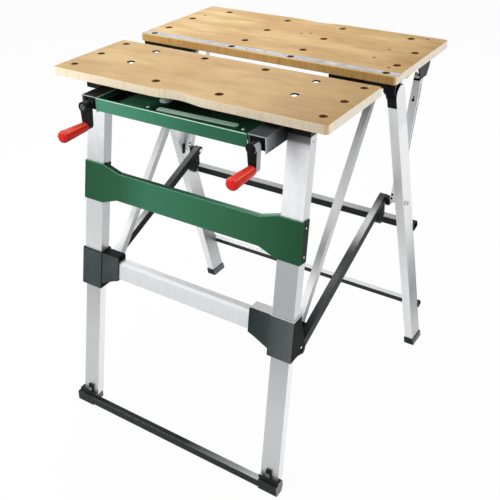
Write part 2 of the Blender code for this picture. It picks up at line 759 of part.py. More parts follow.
def make_front_panel():
    panel = add_object("front_panel", lean_back(prism(panel_outline(), -PANEL_SHEET - SEAT, -SEAT, "y"), 0),
                       green_paint)
    for name, side in SIDES:
        x0, x1 = mirrored(side, LEG_OUTER_X + SEAT, LEG_OUTER_X + SEAT + PANEL_SHEET)
        wing = box((x0, -PANEL_SHEET - SEAT, PANEL_BOTTOM), (x1, PANEL_WRAP, PANEL_TOP))
        join(panel, f"panel_wing_{name}", lean_back(wing, 0))
    for name, low, high in (("top", PANEL_MID_TOP - PANEL_SHEET, PANEL_MID_TOP),
                            ("bottom", PANEL_MID_BOTTOM, PANEL_MID_BOTTOM + PANEL_SHEET)):
        half = PANEL_STEP_INNER
        flange = box((-half, -PANEL_SHEET, low), (half, PANEL_FLANGE, high))
        join(panel, f"panel_flange_{name}", lean_back(flange, 0))


def make_corner_bracket(name, side):
    """Sleeve over the joint between the two leg tubes, with the beam socket and the rear lugs."""
    wall = BRACKET_WALL
    x0, x1 = mirrored(side, LEG_INNER_X - wall, LEG_OUTER_X + wall)
    sleeve = lean_back(box((x0, -wall, BRACKET_BOTTOM), (x1, LEG_DEPTH + wall, BRACKET_TOP)), 0)
    bracket = add_object(f"corner_bracket_{name}", sleeve, dark_plastic)
    gx0, gx1 = mirrored(side, GUSSET_INNER_X, LEG_INNER_X - wall + 1)
    inner, outer = (gx0, gx1) if side > 0 else (gx1, gx0)
    outline = [
        (inner, GUSSET_BOTTOM), (inner, BRACKET_TOP - 3), (inner + side * 3, BRACKET_TOP), (outer, BRACKET_TOP),
        (outer, BRACKET_BOTTOM + 12), (inner + side * 16, GUSSET_BOTTOM - 6),
    ]
    join(bracket, f"gusset_{name}", lean_back(prism(outline, ARM_SETBACK - wall, BEAM_DEPTH + wall, "y"), 0))
    lug_x0, lug_x1 = mirrored(side, LEG_OUTER_X, LEG_OUTER_X + LUG_THICKNESS)
    plate = [
        (leg_front(BRACKET_TOP) + LEG_DEPTH, BRACKET_TOP),
        (leg_front(BRACKET_BOTTOM) + LEG_DEPTH, BRACKET_BOTTOM),
        (LINK_PIVOT[0] + 2, LINK_PIVOT[1] - 10), (LINK_PIVOT[0] + 10, LINK_PIVOT[1] - 4),
        (LINK_PIVOT[0] + 8, LINK_PIVOT[1] + 12),
    ]
    join(bracket, f"outer_lug_{name}", prism(plate, lug_x0, lug_x1, "x"))
    mid_x0, mid_x1 = mirrored(side, MIDDLE_LUG_X, MIDDLE_LUG_X + LUG_THICKNESS)
    back = INNER_LEG_LOW[0] + INNER_LEG_DEPTH / 2
    middle = [
        (leg_front(BRACKET_TOP - 12) + LEG_DEPTH + 1, BRACKET_TOP - 12),
        (leg_front(BRACKET_BOTTOM) + LEG_DEPTH + 1, BRACKET_BOTTOM),
        (LINK_PIVOT[0] + 2, LINK_PIVOT[1] - 10), (back - 6, INNER_LEG_LOW[1] - 14), (back, INNER_LEG_LOW[1] - 4),
        (back - 6, INNER_LEG_LOW[1] + 14),
    ]
    join(bracket, f"middle_lug_{name}", prism(middle, mid_x0, mid_x1, "x"))
    hx0, hx1 = mirrored(side, LEG_INNER_X - SEAT, LEG_OUTER_X + SEAT)
    hollow = box((hx0, -SEAT, BRACKET_BOTTOM - 5), (hx1, LEG_DEPTH + SEAT, BRACKET_TOP + 5))
    cut(bracket, f"leg_socket_{name}", lean_back(hollow, 0))
    bx0, bx1 = mirrored(side, GUSSET_INNER_X - 5, LEG_INNER_X)
    beam_front = BEAM_SETBACK
    socket = box((bx0, beam_front - SEAT, BEAM_TOP - BEAM_HEIGHT - SEAT),
                 (bx1, beam_front + BEAM_DEPTH + SEAT, BEAM_TOP + SEAT))
    cut(bracket, f"beam_socket_{name}", lean_back(socket, 0))
    drill_x(bracket, f"lug_hole_{name}", LINK_PIVOT, PIVOT_RADIUS + HOLE_CLEARANCE,
            *mirrored(side, LEG_OUTER_X - 25, LEG_OUTER_X + 10), 12)


def make_cross_beam():
    half = LEG_INNER_X - SEAT
    front = BEAM_SETBACK
    back = front + BEAM_DEPTH
    outline = [
        (front, BEAM_TOP - BEAM_HEIGHT), (front, BEAM_TOP - BEAM_BEVEL), (front + BEAM_BEVEL, BEAM_TOP),
        (back, BEAM_TOP), (back, BEAM_TOP - BEAM_HEIGHT),
    ]
    beam = add_object("cross_beam", lean_back(prism(outline, -half, half, "x"), 0), aluminium)
    wall = TUBE_WALL
    bore = [
        (front + wall, BEAM_TOP - BEAM_HEIGHT + wall), (front + wall, BEAM_TOP - BEAM_BEVEL - wall / 2),
        (front + BEAM_BEVEL + wall / 2, BEAM_TOP - wall), (back - wall, BEAM_TOP - wall),
        (back - wall, BEAM_TOP - BEAM_HEIGHT + wall),
    ]
    cut(beam, "cross_beam_bore", lean_back(prism(bore, -half - 1, half + 1, "x"), 0))


def make_inner_leg(name, side):
    half = INNER_LEG_WIDTH / 2
    x0, x1 = mirrored(side, INNER_LEG_X - half, INNER_LEG_X + half)
    outline = bar_outline(INNER_LEG_LOW, INNER_LEG_HIGH, INNER_LEG_DEPTH)
    leg = add_object(f"inner_leg_{name}", prism(outline, x0, x1, "x"), aluminium)
    hollow(leg, f"inner_leg_bore_{name}", INNER_LEG_LOW, INNER_LEG_HIGH, INNER_LEG_DEPTH, x0, x1, TUBE_WALL)
    for end, centre, reach in (
        ("low", INNER_LEG_LOW, MIDDLE_LUG_X - SEAT),
        ("high", INNER_LEG_HIGH, INNER_LEG_X + half + INNER_BOSS_PROUD),
    ):
        boss = prism(disc(centre, INNER_BOSS_RADIUS), *mirrored(side, INNER_LEG_X, reach), "x")
        join(leg, f"inner_leg_boss_{end}_{name}", boss)


def hollow(target, name, start, end, depth, x0, x1, wall):
    """Turn a round-ended bar into an open-ended rectangular tube."""
    along = (Vector(end) - Vector(start)).normalized()
    across = Vector((along.y, -along.x)) * (depth / 2 - wall)
    low = Vector(start) - along * depth
    high = Vector(end) + along * depth
    bore = [tuple(point) for point in (low - across, low + across, high + across, high - across)]
    cut(target, name, prism(bore, x0 + wall, x1 - wall, "x"))


def make_lower_leg(name, side):
    gap = LEG_WALL + LOWER_LEG_CLEARANCE
    x0, x1 = mirrored(side, LEG_INNER_X + gap, LEG_OUTER_X - gap)
    tube = slanted_tube(x0, x1, lambda z: leg_front(z) + gap, LEG_DEPTH - 2 * gap,
                        FOOT_LEVEL + SEAT, LOWER_LEG_TOP, LOWER_LEG_WALL)
    add_object(f"lower_leg_{name}", tube, aluminium)


def make_foot_bar():
    back = BAR_FRONT + BAR_DEPTH
    edge = BAR_EDGE
    wall = TUBE_WALL
    outline = [
        (BAR_FRONT, BAR_BOTTOM), (BAR_FRONT, BAR_TOP - edge), (BAR_FRONT + edge, BAR_TOP), (back, BAR_TOP),
        (back, BAR_BOTTOM),
    ]
    bore = [
        (BAR_FRONT + wall, BAR_BOTTOM + wall), (BAR_FRONT + wall, BAR_TOP - edge - wall / 2),
        (BAR_FRONT + edge + wall / 2, BAR_TOP - wall), (back - wall, BAR_TOP - wall), (back - wall, BAR_BOTTOM + wall),
    ]
    half = FOOT_OUTER_X - FOOT_LENGTH + BAR_TUCK
    bar = add_object("foot_bar", prism(outline, -half, half, "x"), black_steel)
    cut(bar, "foot_bar_bore", prism(bore, -half - 1, half + 1, "x"))


def make_front_foot(name, side):
    """Moulded foot under the leg, with a socket for the foot bar and an upstand before the leg."""
    front = BAR_FRONT - FOOT_WALL - SEAT
    outline = [
        (front, 2), (front, FOOT_STEP - 1), (front + 1, FOOT_STEP), (FOOT_STEP_BACK, FOOT_STEP),
        (FOOT_STEP_BACK, FOOT_LEVEL), (FOOT_BACK, FOOT_LEVEL), (FOOT_BACK, FOOT_LEVEL / 2),
        (FOOT_BACK - FOOT_UNDERCUT, 0), (front + 2, 0),
    ]
    inner = FOOT_OUTER_X - FOOT_LENGTH
    x0, x1 = mirrored(side, inner, FOOT_OUTER_X)
    foot = add_object(f"front_foot_{name}", prism(outline, x0, x1, "x"), dark_plastic)
    upstand_back = leg_front(FOOT_STEP) + LEG_WALL + LOWER_LEG_CLEARANCE - LATCH_THICKNESS - 2 * SEAT
    ux0, ux1 = mirrored(side, inner - FOOT_OVERHANG, FOOT_OUTER_X)
    upstand = box((ux0, upstand_back - UPSTAND_THICKNESS, FOOT_STEP - 1), (ux1, upstand_back, FOOT_STEP + FOOT_UPSTAND))
    join(foot, f"foot_upstand_{name}", upstand)
    wx0, wx1 = mirrored(side, LEG_OUTER_X - LEG_WALL + SEAT, FOOT_OUTER_X)
    wing = [
        (upstand_back - 1, FOOT_STEP - 2), (upstand_back - 1, FOOT_STEP + FOOT_UPSTAND),
        (FOOT_BACK - 4, FOOT_LEVEL + FOOT_WING_RISE), (FOOT_BACK - 4, FOOT_LEVEL - 2),
    ]
    join(foot, f"foot_wing_{name}", prism(wing, wx0, wx1, "x"))
    heel_x0, heel_x1 = mirrored(side, inner, HEEL_OUTER_X)
    heel = box((heel_x0, FOOT_BACK - FOOT_UNDERCUT - 2, HEEL_BOTTOM), (heel_x1, HEEL_BACK, FOOT_LEVEL))
    join(foot, f"foot_heel_{name}", heel)
    sx0, sx1 = mirrored(side, inner - 1, inner + BAR_TUCK + SEAT)
    socket = box((sx0, BAR_FRONT - SEAT, BAR_BOTTOM - SEAT), (sx1, BAR_FRONT + BAR_DEPTH + SEAT, BAR_TOP + SEAT))
    cut(foot, f"foot_socket_{name}", socket)


def make_latch(name, side):
    centre = side * (LEG_INNER_X + LEG_WIDTH / 2 - LATCH_SHIFT)
    gap = LEG_WALL + LOWER_LEG_CLEARANCE
    low = FOOT_STEP + SEAT
    body = box((centre - LATCH_WIDTH / 2, gap - LATCH_THICKNESS - SEAT, low),
               (centre + LATCH_WIDTH / 2, gap - SEAT, low + LATCH_HEIGHT))
    add_object(f"foot_latch_{name}", lean_back(body, 0), dark_plastic)


def make_rear_leg(name, side):
    """Tube with a round head about the apex pin, cut level inside the rear foot."""
    x0, x1 = mirrored(side, REAR_LEG_INNER_X, REAR_LEG_OUTER_X)
    half = REAR_LEG_HALF
    lean = REAR_LEG_LEAN
    foot_y = rear_leg_centre(REAR_LEG_BOTTOM)
    level = REAR_LEG_DEPTH / 2

    def outline(inset):
        head = arc(APEX, half - inset, lean, lean + pi, 10)
        reach = level - inset / cos(lean)
        return head + [(foot_y - reach, REAR_LEG_BOTTOM), (foot_y + reach, REAR_LEG_BOTTOM)]

    pivot = (0.0, APEX[0], APEX[1])
    leg = add_object(f"rear_leg_{name}", prism(outline(0), x0, x1, "x"), aluminium, pivot)
    wall = REAR_LEG_WALL
    lowered = [(y, z - 2) if i > 10 else (y, z) for i, (y, z) in enumerate(outline(wall))]
    cut(leg, f"rear_leg_hollow_{name}", prism(lowered, x0 + wall, x1 - wall, "x"))
    drill_x(leg, f"apex_hole_{name}", APEX, APEX_PIN_RADIUS + HOLE_CLEARANCE, x0 - 1, x1 + 1, 16)
    drill_x(leg, f"strut_hole_{name}", STRUT_PIVOT, PIVOT_RADIUS + HOLE_CLEARANCE, x0 - 1, x1 + 1, 12)


def make_rear_foot(name, side):
    """Cap over the lower end of the rear leg."""
    wall = REAR_FOOT_WALL + SEAT
    x0, x1 = mirrored(side, REAR_LEG_INNER_X - wall, REAR_LEG_OUTER_X + wall)
    pivot = (0.0, APEX[0], APEX[1])

    def outline(low, high, reach):
        return [
            (rear_leg_centre(low) - reach, low), (rear_leg_centre(low) + reach, low),
            (rear_leg_centre(high) + reach, high), (rear_leg_centre(high) - reach, high),
        ]

    outer = REAR_LEG_DEPTH / 2 + wall
    foot = add_object(f"rear_foot_{name}", prism(outline(0, REAR_FOOT_TOP + 4, outer), x0, x1, "x"),
                      dark_plastic, pivot)
    inner = REAR_LEG_DEPTH / 2 + SEAT
    gap = REAR_FOOT_WALL
    cut(foot, f"rear_foot_socket_{name}",
        prism(outline(REAR_LEG_BOTTOM - SEAT, REAR_FOOT_TOP + 10, inner), x0 + gap, x1 - gap, "x"))


def make_shroud(name, side):
    """Black cover bent round the rear leg's head and down its front face."""
    x0, x1 = mirrored(side, REAR_LEG_INNER_X, REAR_LEG_OUTER_X)
    inner = REAR_LEG_HALF + SEAT
    outer = inner + SHROUD_THICKNESS
    front_angle = REAR_LEG_LEAN + pi
    back_angle = radians(SHROUD_BACK_ANGLE)
    down = Vector((sin(REAR_LEG_LEAN), -cos(REAR_LEG_LEAN))) * SHROUD_LENGTH
    outline = arc(APEX, outer, back_angle, front_angle, 8)
    outline.append(tuple(Vector(outline[-1]) + down))
    inside = arc(APEX, inner, front_angle, back_angle, 8)
    outline.append(tuple(Vector(inside[0]) + down))
    outline += inside
    add_object(f"leg_shroud_{name}", prism(outline, x0, x1, "x"), black_steel, (0.0, APEX[0], APEX[1]), smooth=True)


def make_apex_bracket(name, side):
    """Cheek under the rear support, on the inner face of the rear leg, that carries the apex pin."""
    outer = REAR_LEG_INNER_X - SEAT
    x0, x1 = mirrored(side, outer - 8, outer)
    y, z = APEX
    top = SUPPORT_BOTTOM - SEAT
    outline = [
        (y - APEX_CHEEK_FRONT, top), (y - APEX_CHEEK_FRONT, z + APEX_CHEEK_DROP), (y - APEX_CHEEK_FRONT / 2, z + 3),
        (y - APEX_CHEEK_DROP, z - APEX_CHEEK_DROP), (y + APEX_CHEEK_DROP, z - APEX_CHEEK_DROP),
        (y + APEX_CHEEK_BACK, top),
    ]
    bracket = add_object(f"apex_bracket_{name}", prism(outline, x0, x1, "x"), black_steel)
    drill_x(bracket, f"apex_bracket_hole_{name}", APEX, APEX_PIN_RADIUS + HOLE_CLEARANCE, x0 - 1, x1 + 1, 16)
    px0, px1 = mirrored(side, outer - 11, REAR_LEG_OUTER_X)
    add_object(f"apex_pin_{name}", prism(disc(APEX, APEX_PIN_RADIUS, 16), px0, px1, "x"), bright_steel, smooth=True)


def rear_bar(name, z, size):
    """Bevelled bar fixed across the back faces of the rear legs, turned with their lean."""
    half = REAR_LEG_OUTER_X + BAR_OVERHANG
    down = Vector((sin(REAR_LEG_LEAN), -cos(REAR_LEG_LEAN)))
    back = Vector((cos(REAR_LEG_LEAN), sin(REAR_LEG_LEAN)))
    face = Vector((rear_leg_centre(z), z)) + back * (REAR_LEG_HALF + SEAT)
    bevel = size * BAR_CHAMFER
    corners = ((-1, 0), (-1, size - bevel), (bevel * 2 / size - 1, size), (1, size), (1, 0))
    outline = [tuple(face + down * size / 2 * along + back * out) for along, out in corners]
    bar = add_object(name, prism(outline, -half, half, "x"), black_steel, (0.0, APEX[0], APEX[1]))
    inner = 1 - 2 * TUBE_WALL / size
    corners = (
        (-inner, TUBE_WALL), (-inner, size - bevel - TUBE_WALL / 2),
        (bevel * 2 / size - 1 + TUBE_WALL / size, size - TUBE_WALL), (inner, size - TUBE_WALL), (inner, TUBE_WALL),
    )
    bore = [tuple(face + down * size / 2 * along + back * out) for along, out in corners]
    cut(bar, f"{name}_bore", prism(bore, -half - 1, half + 1, "x"))


def make_link(name, side):
    x0, x1 = mirrored(side, LINK_OUTER_X - LINK_WIDTH, LINK_OUTER_X)
    outline = bar_outline(LINK_PIVOT, STRUT_PIVOT, LINK_DEPTH)
    link = add_object(f"link_{name}", prism(outline, x0, x1, "x"), black_steel, (0.0, *LINK_PIVOT))
    hollow(link, f"link_bore_{name}", LINK_PIVOT, STRUT_PIVOT, LINK_DEPTH, x0, x1, TUBE_WALL)
    px0, px1 = mirrored(side, MIDDLE_LUG_X - 1, LEG_OUTER_X + LUG_THICKNESS + 2)
    join(link, f"link_trunnion_{name}", prism(disc(LINK_PIVOT, PIVOT_RADIUS, 12), px0, px1, "x"))


def make_strut(name, side):
    """Folded channel with flanges along its back and a pivot through its lower end."""
    x0, x1 = mirrored(side, STRUT_OUTER_X - STRUT_WIDTH, STRUT_OUTER_X)
    outline = bar_outline(STRUT_PIVOT, STRUT_TOP, STRUT_DEPTH)
    strut = add_object(f"strut_{name}", prism(outline, x0, x1, "x"), aluminium, (0.0, *STRUT_PIVOT))
    along = Vector((STRUT_TOP[0] - STRUT_PIVOT[0], STRUT_TOP[1] - STRUT_PIVOT[1])).normalized()
    across = Vector((along.y, -along.x))
    reach = STRUT_DEPTH / 2
    start = Vector(STRUT_PIVOT) - along * 30
    end = Vector(STRUT_TOP) + along * 30
    floor = -reach + STRUT_SHEET
    trough = [start + across * floor, end + across * floor, end + across * (reach + 5), start + across * (reach + 5)]
    sheet = STRUT_SHEET
    cut(strut, f"strut_trough_{name}", prism([tuple(p) for p in trough], x0 + sheet, x1 - sheet, "x"))
    drill_x(strut, f"strut_low_hole_{name}", STRUT_PIVOT, PIVOT_RADIUS + HOLE_CLEARANCE, x0 - 1, x1 + 1, 12)
    drill_x(strut, f"strut_top_hole_{name}", STRUT_TOP, PIVOT_RADIUS + HOLE_CLEARANCE, x0 - 1, x1 + 1, 12)
    px0, px1 = mirrored(side, LINK_OUTER_X + 1, REAR_LEG_OUTER_X + 2)
    add_object(f"strut_pin_{name}", prism(disc(STRUT_PIVOT, PIVOT_RADIUS, 12), px0, px1, "x"),
               bright_steel, (0.0, *STRUT_PIVOT), smooth=True)


def make_strut_bracket(name, side):
    """Plate under the rear jaw, beside the strut's upper end."""
    x0, x1 = mirrored(side, STRUT_OUTER_X + SEAT, STRUT_OUTER_X + SEAT + 3)
    y, z = STRUT_TOP
    top = BOARD_BOTTOM - SEAT
    front_shoulder, back_shoulder = (top - (top - z) * share for share in LUG_SHOULDERS)
    foot = z - STRUT_LUG_DROP
    outline = [
        (y - STRUT_LUG_FRONT, top), (y - STRUT_LUG_FRONT + 2, front_shoulder), (y - STRUT_LUG_HALF, foot),
        (y + STRUT_LUG_HALF, foot), (y + STRUT_LUG_BACK - 10, back_shoulder), (y + STRUT_LUG_BACK, top),
    ]
    bracket = add_object(f"strut_bracket_{name}", prism(outline, x0, x1, "x"), black_steel)
    fx0, fx1 = mirrored(side, STRUT_OUTER_X - 12, STRUT_OUTER_X + SEAT + 1)
    join(bracket, f"strut_bracket_flange_{name}", box((fx0, y - STRUT_LUG_FRONT, top - 3), (fx1, y + STRUT_LUG_BACK, top)))


def make_clip(name, side):
    """Hook block fixed under the link near its upper end."""
    centre = LINK_OUTER_X - LINK_WIDTH / 2
    x0, x1 = mirrored(side, centre - CLIP_WIDTH / 2, centre + CLIP_WIDTH / 2)
    slope = (STRUT_PIVOT[1] - LINK_PIVOT[1]) / (STRUT_PIVOT[0] - LINK_PIVOT[0])
    drop = LINK_DEPTH / 2 * hypot(1, slope) + SEAT

    def under(y):
        return LINK_PIVOT[1] + slope * (y - LINK_PIVOT[0]) - drop

    middle = (CLIP_FRONT + CLIP_BACK) / 2
    outline = [
        (CLIP_FRONT, under(CLIP_FRONT)), (CLIP_FRONT, CLIP_BOTTOM + 8), (CLIP_FRONT + 6, CLIP_BOTTOM),
        (middle, CLIP_BOTTOM), (middle, CLIP_BOTTOM + 8), (CLIP_BACK, CLIP_BOTTOM + 16),
        (CLIP_BACK, under(CLIP_BACK)),
    ]
    add_object(f"link_clip_{name}", prism(outline, x0, x1, "x"), dark_plastic, (0.0, *LINK_PIVOT))


def build():
    clear_scene()
    frame = bpy.data.objects.new("bench_frame", None)
    frame.location = millimetres((0, DATUM_Y, 0))
    bpy.context.collection.objects.link(frame)
    make_front_jaw()
    make_rear_jaw()
    make_ruler()
    make_tray()
    make_front_panel()
    make_cross_beam()
    make_foot_bar()
    rear_bar("rear_upper_bar", UPPER_BAR_Z, UPPER_BAR_SIZE)
    rear_bar("rear_lower_bar", LOWER_BAR_Z, LOWER_BAR_SIZE)
    makers = (
        make_rail, make_rear_support, make_carriage, make_bearing, make_crank, make_handle, make_upper_leg, make_leg_cap,
        make_corner_bracket, make_inner_leg, make_lower_leg, make_front_foot,
        make_latch, make_rear_leg, make_rear_foot, make_shroud, make_apex_bracket, make_link, make_strut,
        make_strut_bracket, make_clip,
    )
    for name, side in SIDES:
        for maker in makers:
            maker(name, side)


build()
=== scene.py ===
import math

import bmesh
import bpy
from mathutils import Matrix, Vector


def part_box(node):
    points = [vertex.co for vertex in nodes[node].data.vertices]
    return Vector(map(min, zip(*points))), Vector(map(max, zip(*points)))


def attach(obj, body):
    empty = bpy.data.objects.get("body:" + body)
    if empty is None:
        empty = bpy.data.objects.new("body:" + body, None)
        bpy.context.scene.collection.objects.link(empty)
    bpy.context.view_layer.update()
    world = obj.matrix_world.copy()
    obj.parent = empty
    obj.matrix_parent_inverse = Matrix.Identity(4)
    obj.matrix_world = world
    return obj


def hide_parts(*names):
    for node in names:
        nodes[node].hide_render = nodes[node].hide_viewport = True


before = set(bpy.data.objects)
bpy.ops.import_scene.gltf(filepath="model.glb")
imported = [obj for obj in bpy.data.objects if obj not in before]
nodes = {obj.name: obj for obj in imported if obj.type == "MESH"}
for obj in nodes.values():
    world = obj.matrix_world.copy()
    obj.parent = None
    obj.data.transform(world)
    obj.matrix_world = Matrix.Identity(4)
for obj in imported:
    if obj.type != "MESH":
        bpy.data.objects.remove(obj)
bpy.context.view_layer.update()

MM = 0.001

# The bench's own millimetres: Y runs back from the front jaw's front edge, which sits at this Y in the frame
DATUM_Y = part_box("front_jaw")[0].y / MM
TOP_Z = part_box("front_jaw")[1].z / MM
SIDES = (("left", -1), ("right", 1))
LEG_SLOPE = 0.16
LEG_FOOT_Y = -79.0


def point(x, y, z):
    """A point in metres in the frame from bench millimetres."""
    return Vector((x, y + DATUM_Y, z)) * MM


def leg_front(z):
    """Y of the front legs' front face at a height."""
    return LEG_FOOT_Y + LEG_SLOPE * z


def low_corner(name):
    """Low corner of a node's box in bench millimetres."""
    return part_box(name)[0] / MM - Vector((0, DATUM_Y, 0))


def high_corner(name):
    """High corner of a node's box in bench millimetres."""
    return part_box(name)[1] / MM - Vector((0, DATUM_Y, 0))


# Places and sizes that several pieces share, in bench millimetres
BOARD_END = high_corner("rear_jaw").x
RULER_FRONT = low_corner("ruler_strip").y
RAIL_IN, RAIL_OUT = low_corner("rail_right").x, high_corner("rail_right").x
STRUT_IN, STRUT_OUT = low_corner("strut_right").x, high_corner("strut_right").x
LEG_OUT = high_corner("upper_leg_right").x
REAR_LEG_OUT = high_corner("rear_leg_right").x
DOG_HOLE_XS = (79.5, 310.0)
TRAY_FLOOR = 785.55
PANEL_TOP, PANEL_DIP, PANEL_LOW, PANEL_RISE = 615.0, 602.0, 524.5, 539.5
PANEL_END = 284.6
PANEL_SKIN = 2.4


# Colours

def rgb(red, green, blue):
    """Linear colour from 0 to 255 display values."""
    def linear(value):
        value /= 255
        return value / 12.92 if value <= 0.04045 else ((value + 0.055) / 1.055) ** 2.4
    return (linear(red), linear(green), linear(blue), 1.0)


# Material helpers

class Paint:
    """A node material under construction."""

    def __init__(self, name, roughness=0.5, metallic=0.0, specular=0.5):
        self.material = bpy.data.materials.new(name)
        self.material.use_nodes = True
        self.tree = self.material.node_tree
        self.shader = self.tree.nodes["Principled BSDF"]
        self.shader.inputs["Roughness"].default_value = roughness
        self.shader.inputs["Metallic"].default_value = metallic
        self.shader.inputs["Specular IOR Level"].default_value = specular
        self.coordinates = self.tree.nodes.new("ShaderNodeTexCoord")

    def node(self, kind, **settings):
        made = self.tree.nodes.new(kind)
        for key, value in settings.items():
            setattr(made, key, value)
        return made

    def link(self, source, target):
        self.tree.links.new(source, target)

    def stretched(self, scale, offset):
        """Object coordinates scaled per axis."""
        mapping = self.node("ShaderNodeMapping")
        mapping.inputs["Scale"].default_value = scale
        mapping.inputs["Location"].default_value = offset
        self.link(self.coordinates.outputs["Object"], mapping.inputs["Vector"])
        return mapping.outputs["Vector"]

    def noise(self, scale, stretch=(1, 1, 1), detail=3.0, rough=0.5, offset=(0, 0, 0)):
        """Noise over the frame, stretched and shifted per axis."""
        made = self.node("ShaderNodeTexNoise")
        made.inputs["Scale"].default_value = scale
        made.inputs["Detail"].default_value = detail
        made.inputs["Roughness"].default_value = rough
        self.link(self.stretched(stretch, offset), made.inputs["Vector"])
        return made.outputs["Fac"]

    def ramp(self, value, stops):
        """A colour for each value, from (value, colour or grey) stops."""
        made = self.node("ShaderNodeValToRGB")
        while len(made.color_ramp.elements) < len(stops):
            made.color_ramp.elements.new(0.5)
        for element, (position, colour) in zip(made.color_ramp.elements, stops):
            element.position = position
            element.color = colour if hasattr(colour, "__len__") else (colour, colour, colour, 1)
        self.link(value, made.inputs["Fac"])
        return made.outputs["Color"]

    def mix(self, factor, first, second, blend="MIX"):
        made = self.node("ShaderNodeMix", data_type="RGBA", blend_type=blend)
        for value, socket in ((factor, made.inputs[0]), (first, made.inputs[6]), (second, made.inputs[7])):
            if isinstance(value, bpy.types.NodeSocket):
                self.link(value, socket)
            else:
                socket.default_value = value
        return made.outputs[2]

    def math(self, operation, first, second=0.0, third=0.0):
        made = self.node("ShaderNodeMath", operation=operation)
        for value, socket in zip((first, second, third), made.inputs):
            if isinstance(value, bpy.types.NodeSocket):
                self.link(value, socket)
            else:
                socket.default_value = value
        return made.outputs[0]

    def axis(self, kind, name):
        """One component of an object-space vector: kind is Object or Normal."""
        split = self.node("ShaderNodeSeparateXYZ")
        self.link(self.coordinates.outputs[kind], split.inputs[0])
        return split.outputs[name]

    def along(self, name, stops):
        """A ramp along one axis of the frame, with its stops in bench millimetres."""
        shift = DATUM_Y if name == "Y" else 0.0
        low, high = stops[0][0] + shift, stops[-1][0] + shift
        place = self.node("ShaderNodeMapRange")
        place.inputs["From Min"].default_value = low * MM
        place.inputs["From Max"].default_value = high * MM
        self.link(self.axis("Object", name), place.inputs["Value"])
        span = high - low
        return self.ramp(place.outputs["Result"], [((at + shift - low) / span, value) for at, value in stops])

    def facing(self, name, limit=0.6):
        """1 on faces that look along plus the named axis."""
        return self.math("GREATER_THAN", self.axis("Normal", name), limit)

    def edges(self, radius):
        """A mask of the rounded edges, which catch the light."""
        rounded = self.node("ShaderNodeBevel", samples=6)
        rounded.inputs["Radius"].default_value = radius * MM
        flat = self.node("ShaderNodeNewGeometry")
        turn = self.node("ShaderNodeVectorMath", operation="DOT_PRODUCT")
        self.link(rounded.outputs["Normal"], turn.inputs[0])
        self.link(flat.outputs["True Normal"], turn.inputs[1])
        return self.ramp(self.math("SUBTRACT", 1.0, turn.outputs["Value"]), [(0.02, 0.0), (0.16, 1.0)])

    def holes(self):
        """1 on the walls of the upright holes in the boards, away from the boards' own edges."""
        across = self.math("ABSOLUTE", self.axis("Object", "X"))
        inside = self.math("LESS_THAN", across, (BOARD_END - 6.0) * MM)
        y = self.axis("Object", "Y")
        result = None
        for board in ("front_jaw", "rear_jaw"):
            low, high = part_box(board)
            above = self.math("GREATER_THAN", y, low.y + 12.0 * MM)
            below = self.math("LESS_THAN", y, high.y - 8.0 * MM)
            within = self.math("MULTIPLY", above, below)
            result = within if result is None else self.math("MAXIMUM", result, within)
        return self.math("MULTIPLY", inside, result)

    def spots(self, centres, radius):
        """1 inside round marks of one radius around points in bench millimetres."""
        mask = None
        for centre in centres:
            away = self.node("ShaderNodeVectorMath", operation="DISTANCE")
            self.link(self.coordinates.outputs["Object"], away.inputs[0])
            away.inputs[1].default_value = point(*centre)
            inside = self.math("LESS_THAN", away.outputs["Value"], radius * MM)
            mask = inside if mask is None else self.math("MAXIMUM", mask, inside)
        return mask

    def colour(self, value):
        socket = self.shader.inputs["Base Color"]
        if isinstance(value, bpy.types.NodeSocket):
            self.link(value, socket)
        else:
            socket.default_value = value

    def roughness(self, value):
        self.link(value, self.shader.inputs["Roughness"])

    def bump(self, height, strength, distance):
        made = self.node("ShaderNodeBump")
        made.inputs["Strength"].default_value = strength
        made.inputs["Distance"].default_value = distance
        self.link(height, made.inputs["Height"])
        self.link(made.outputs["Normal"], self.shader.inputs["Normal"])


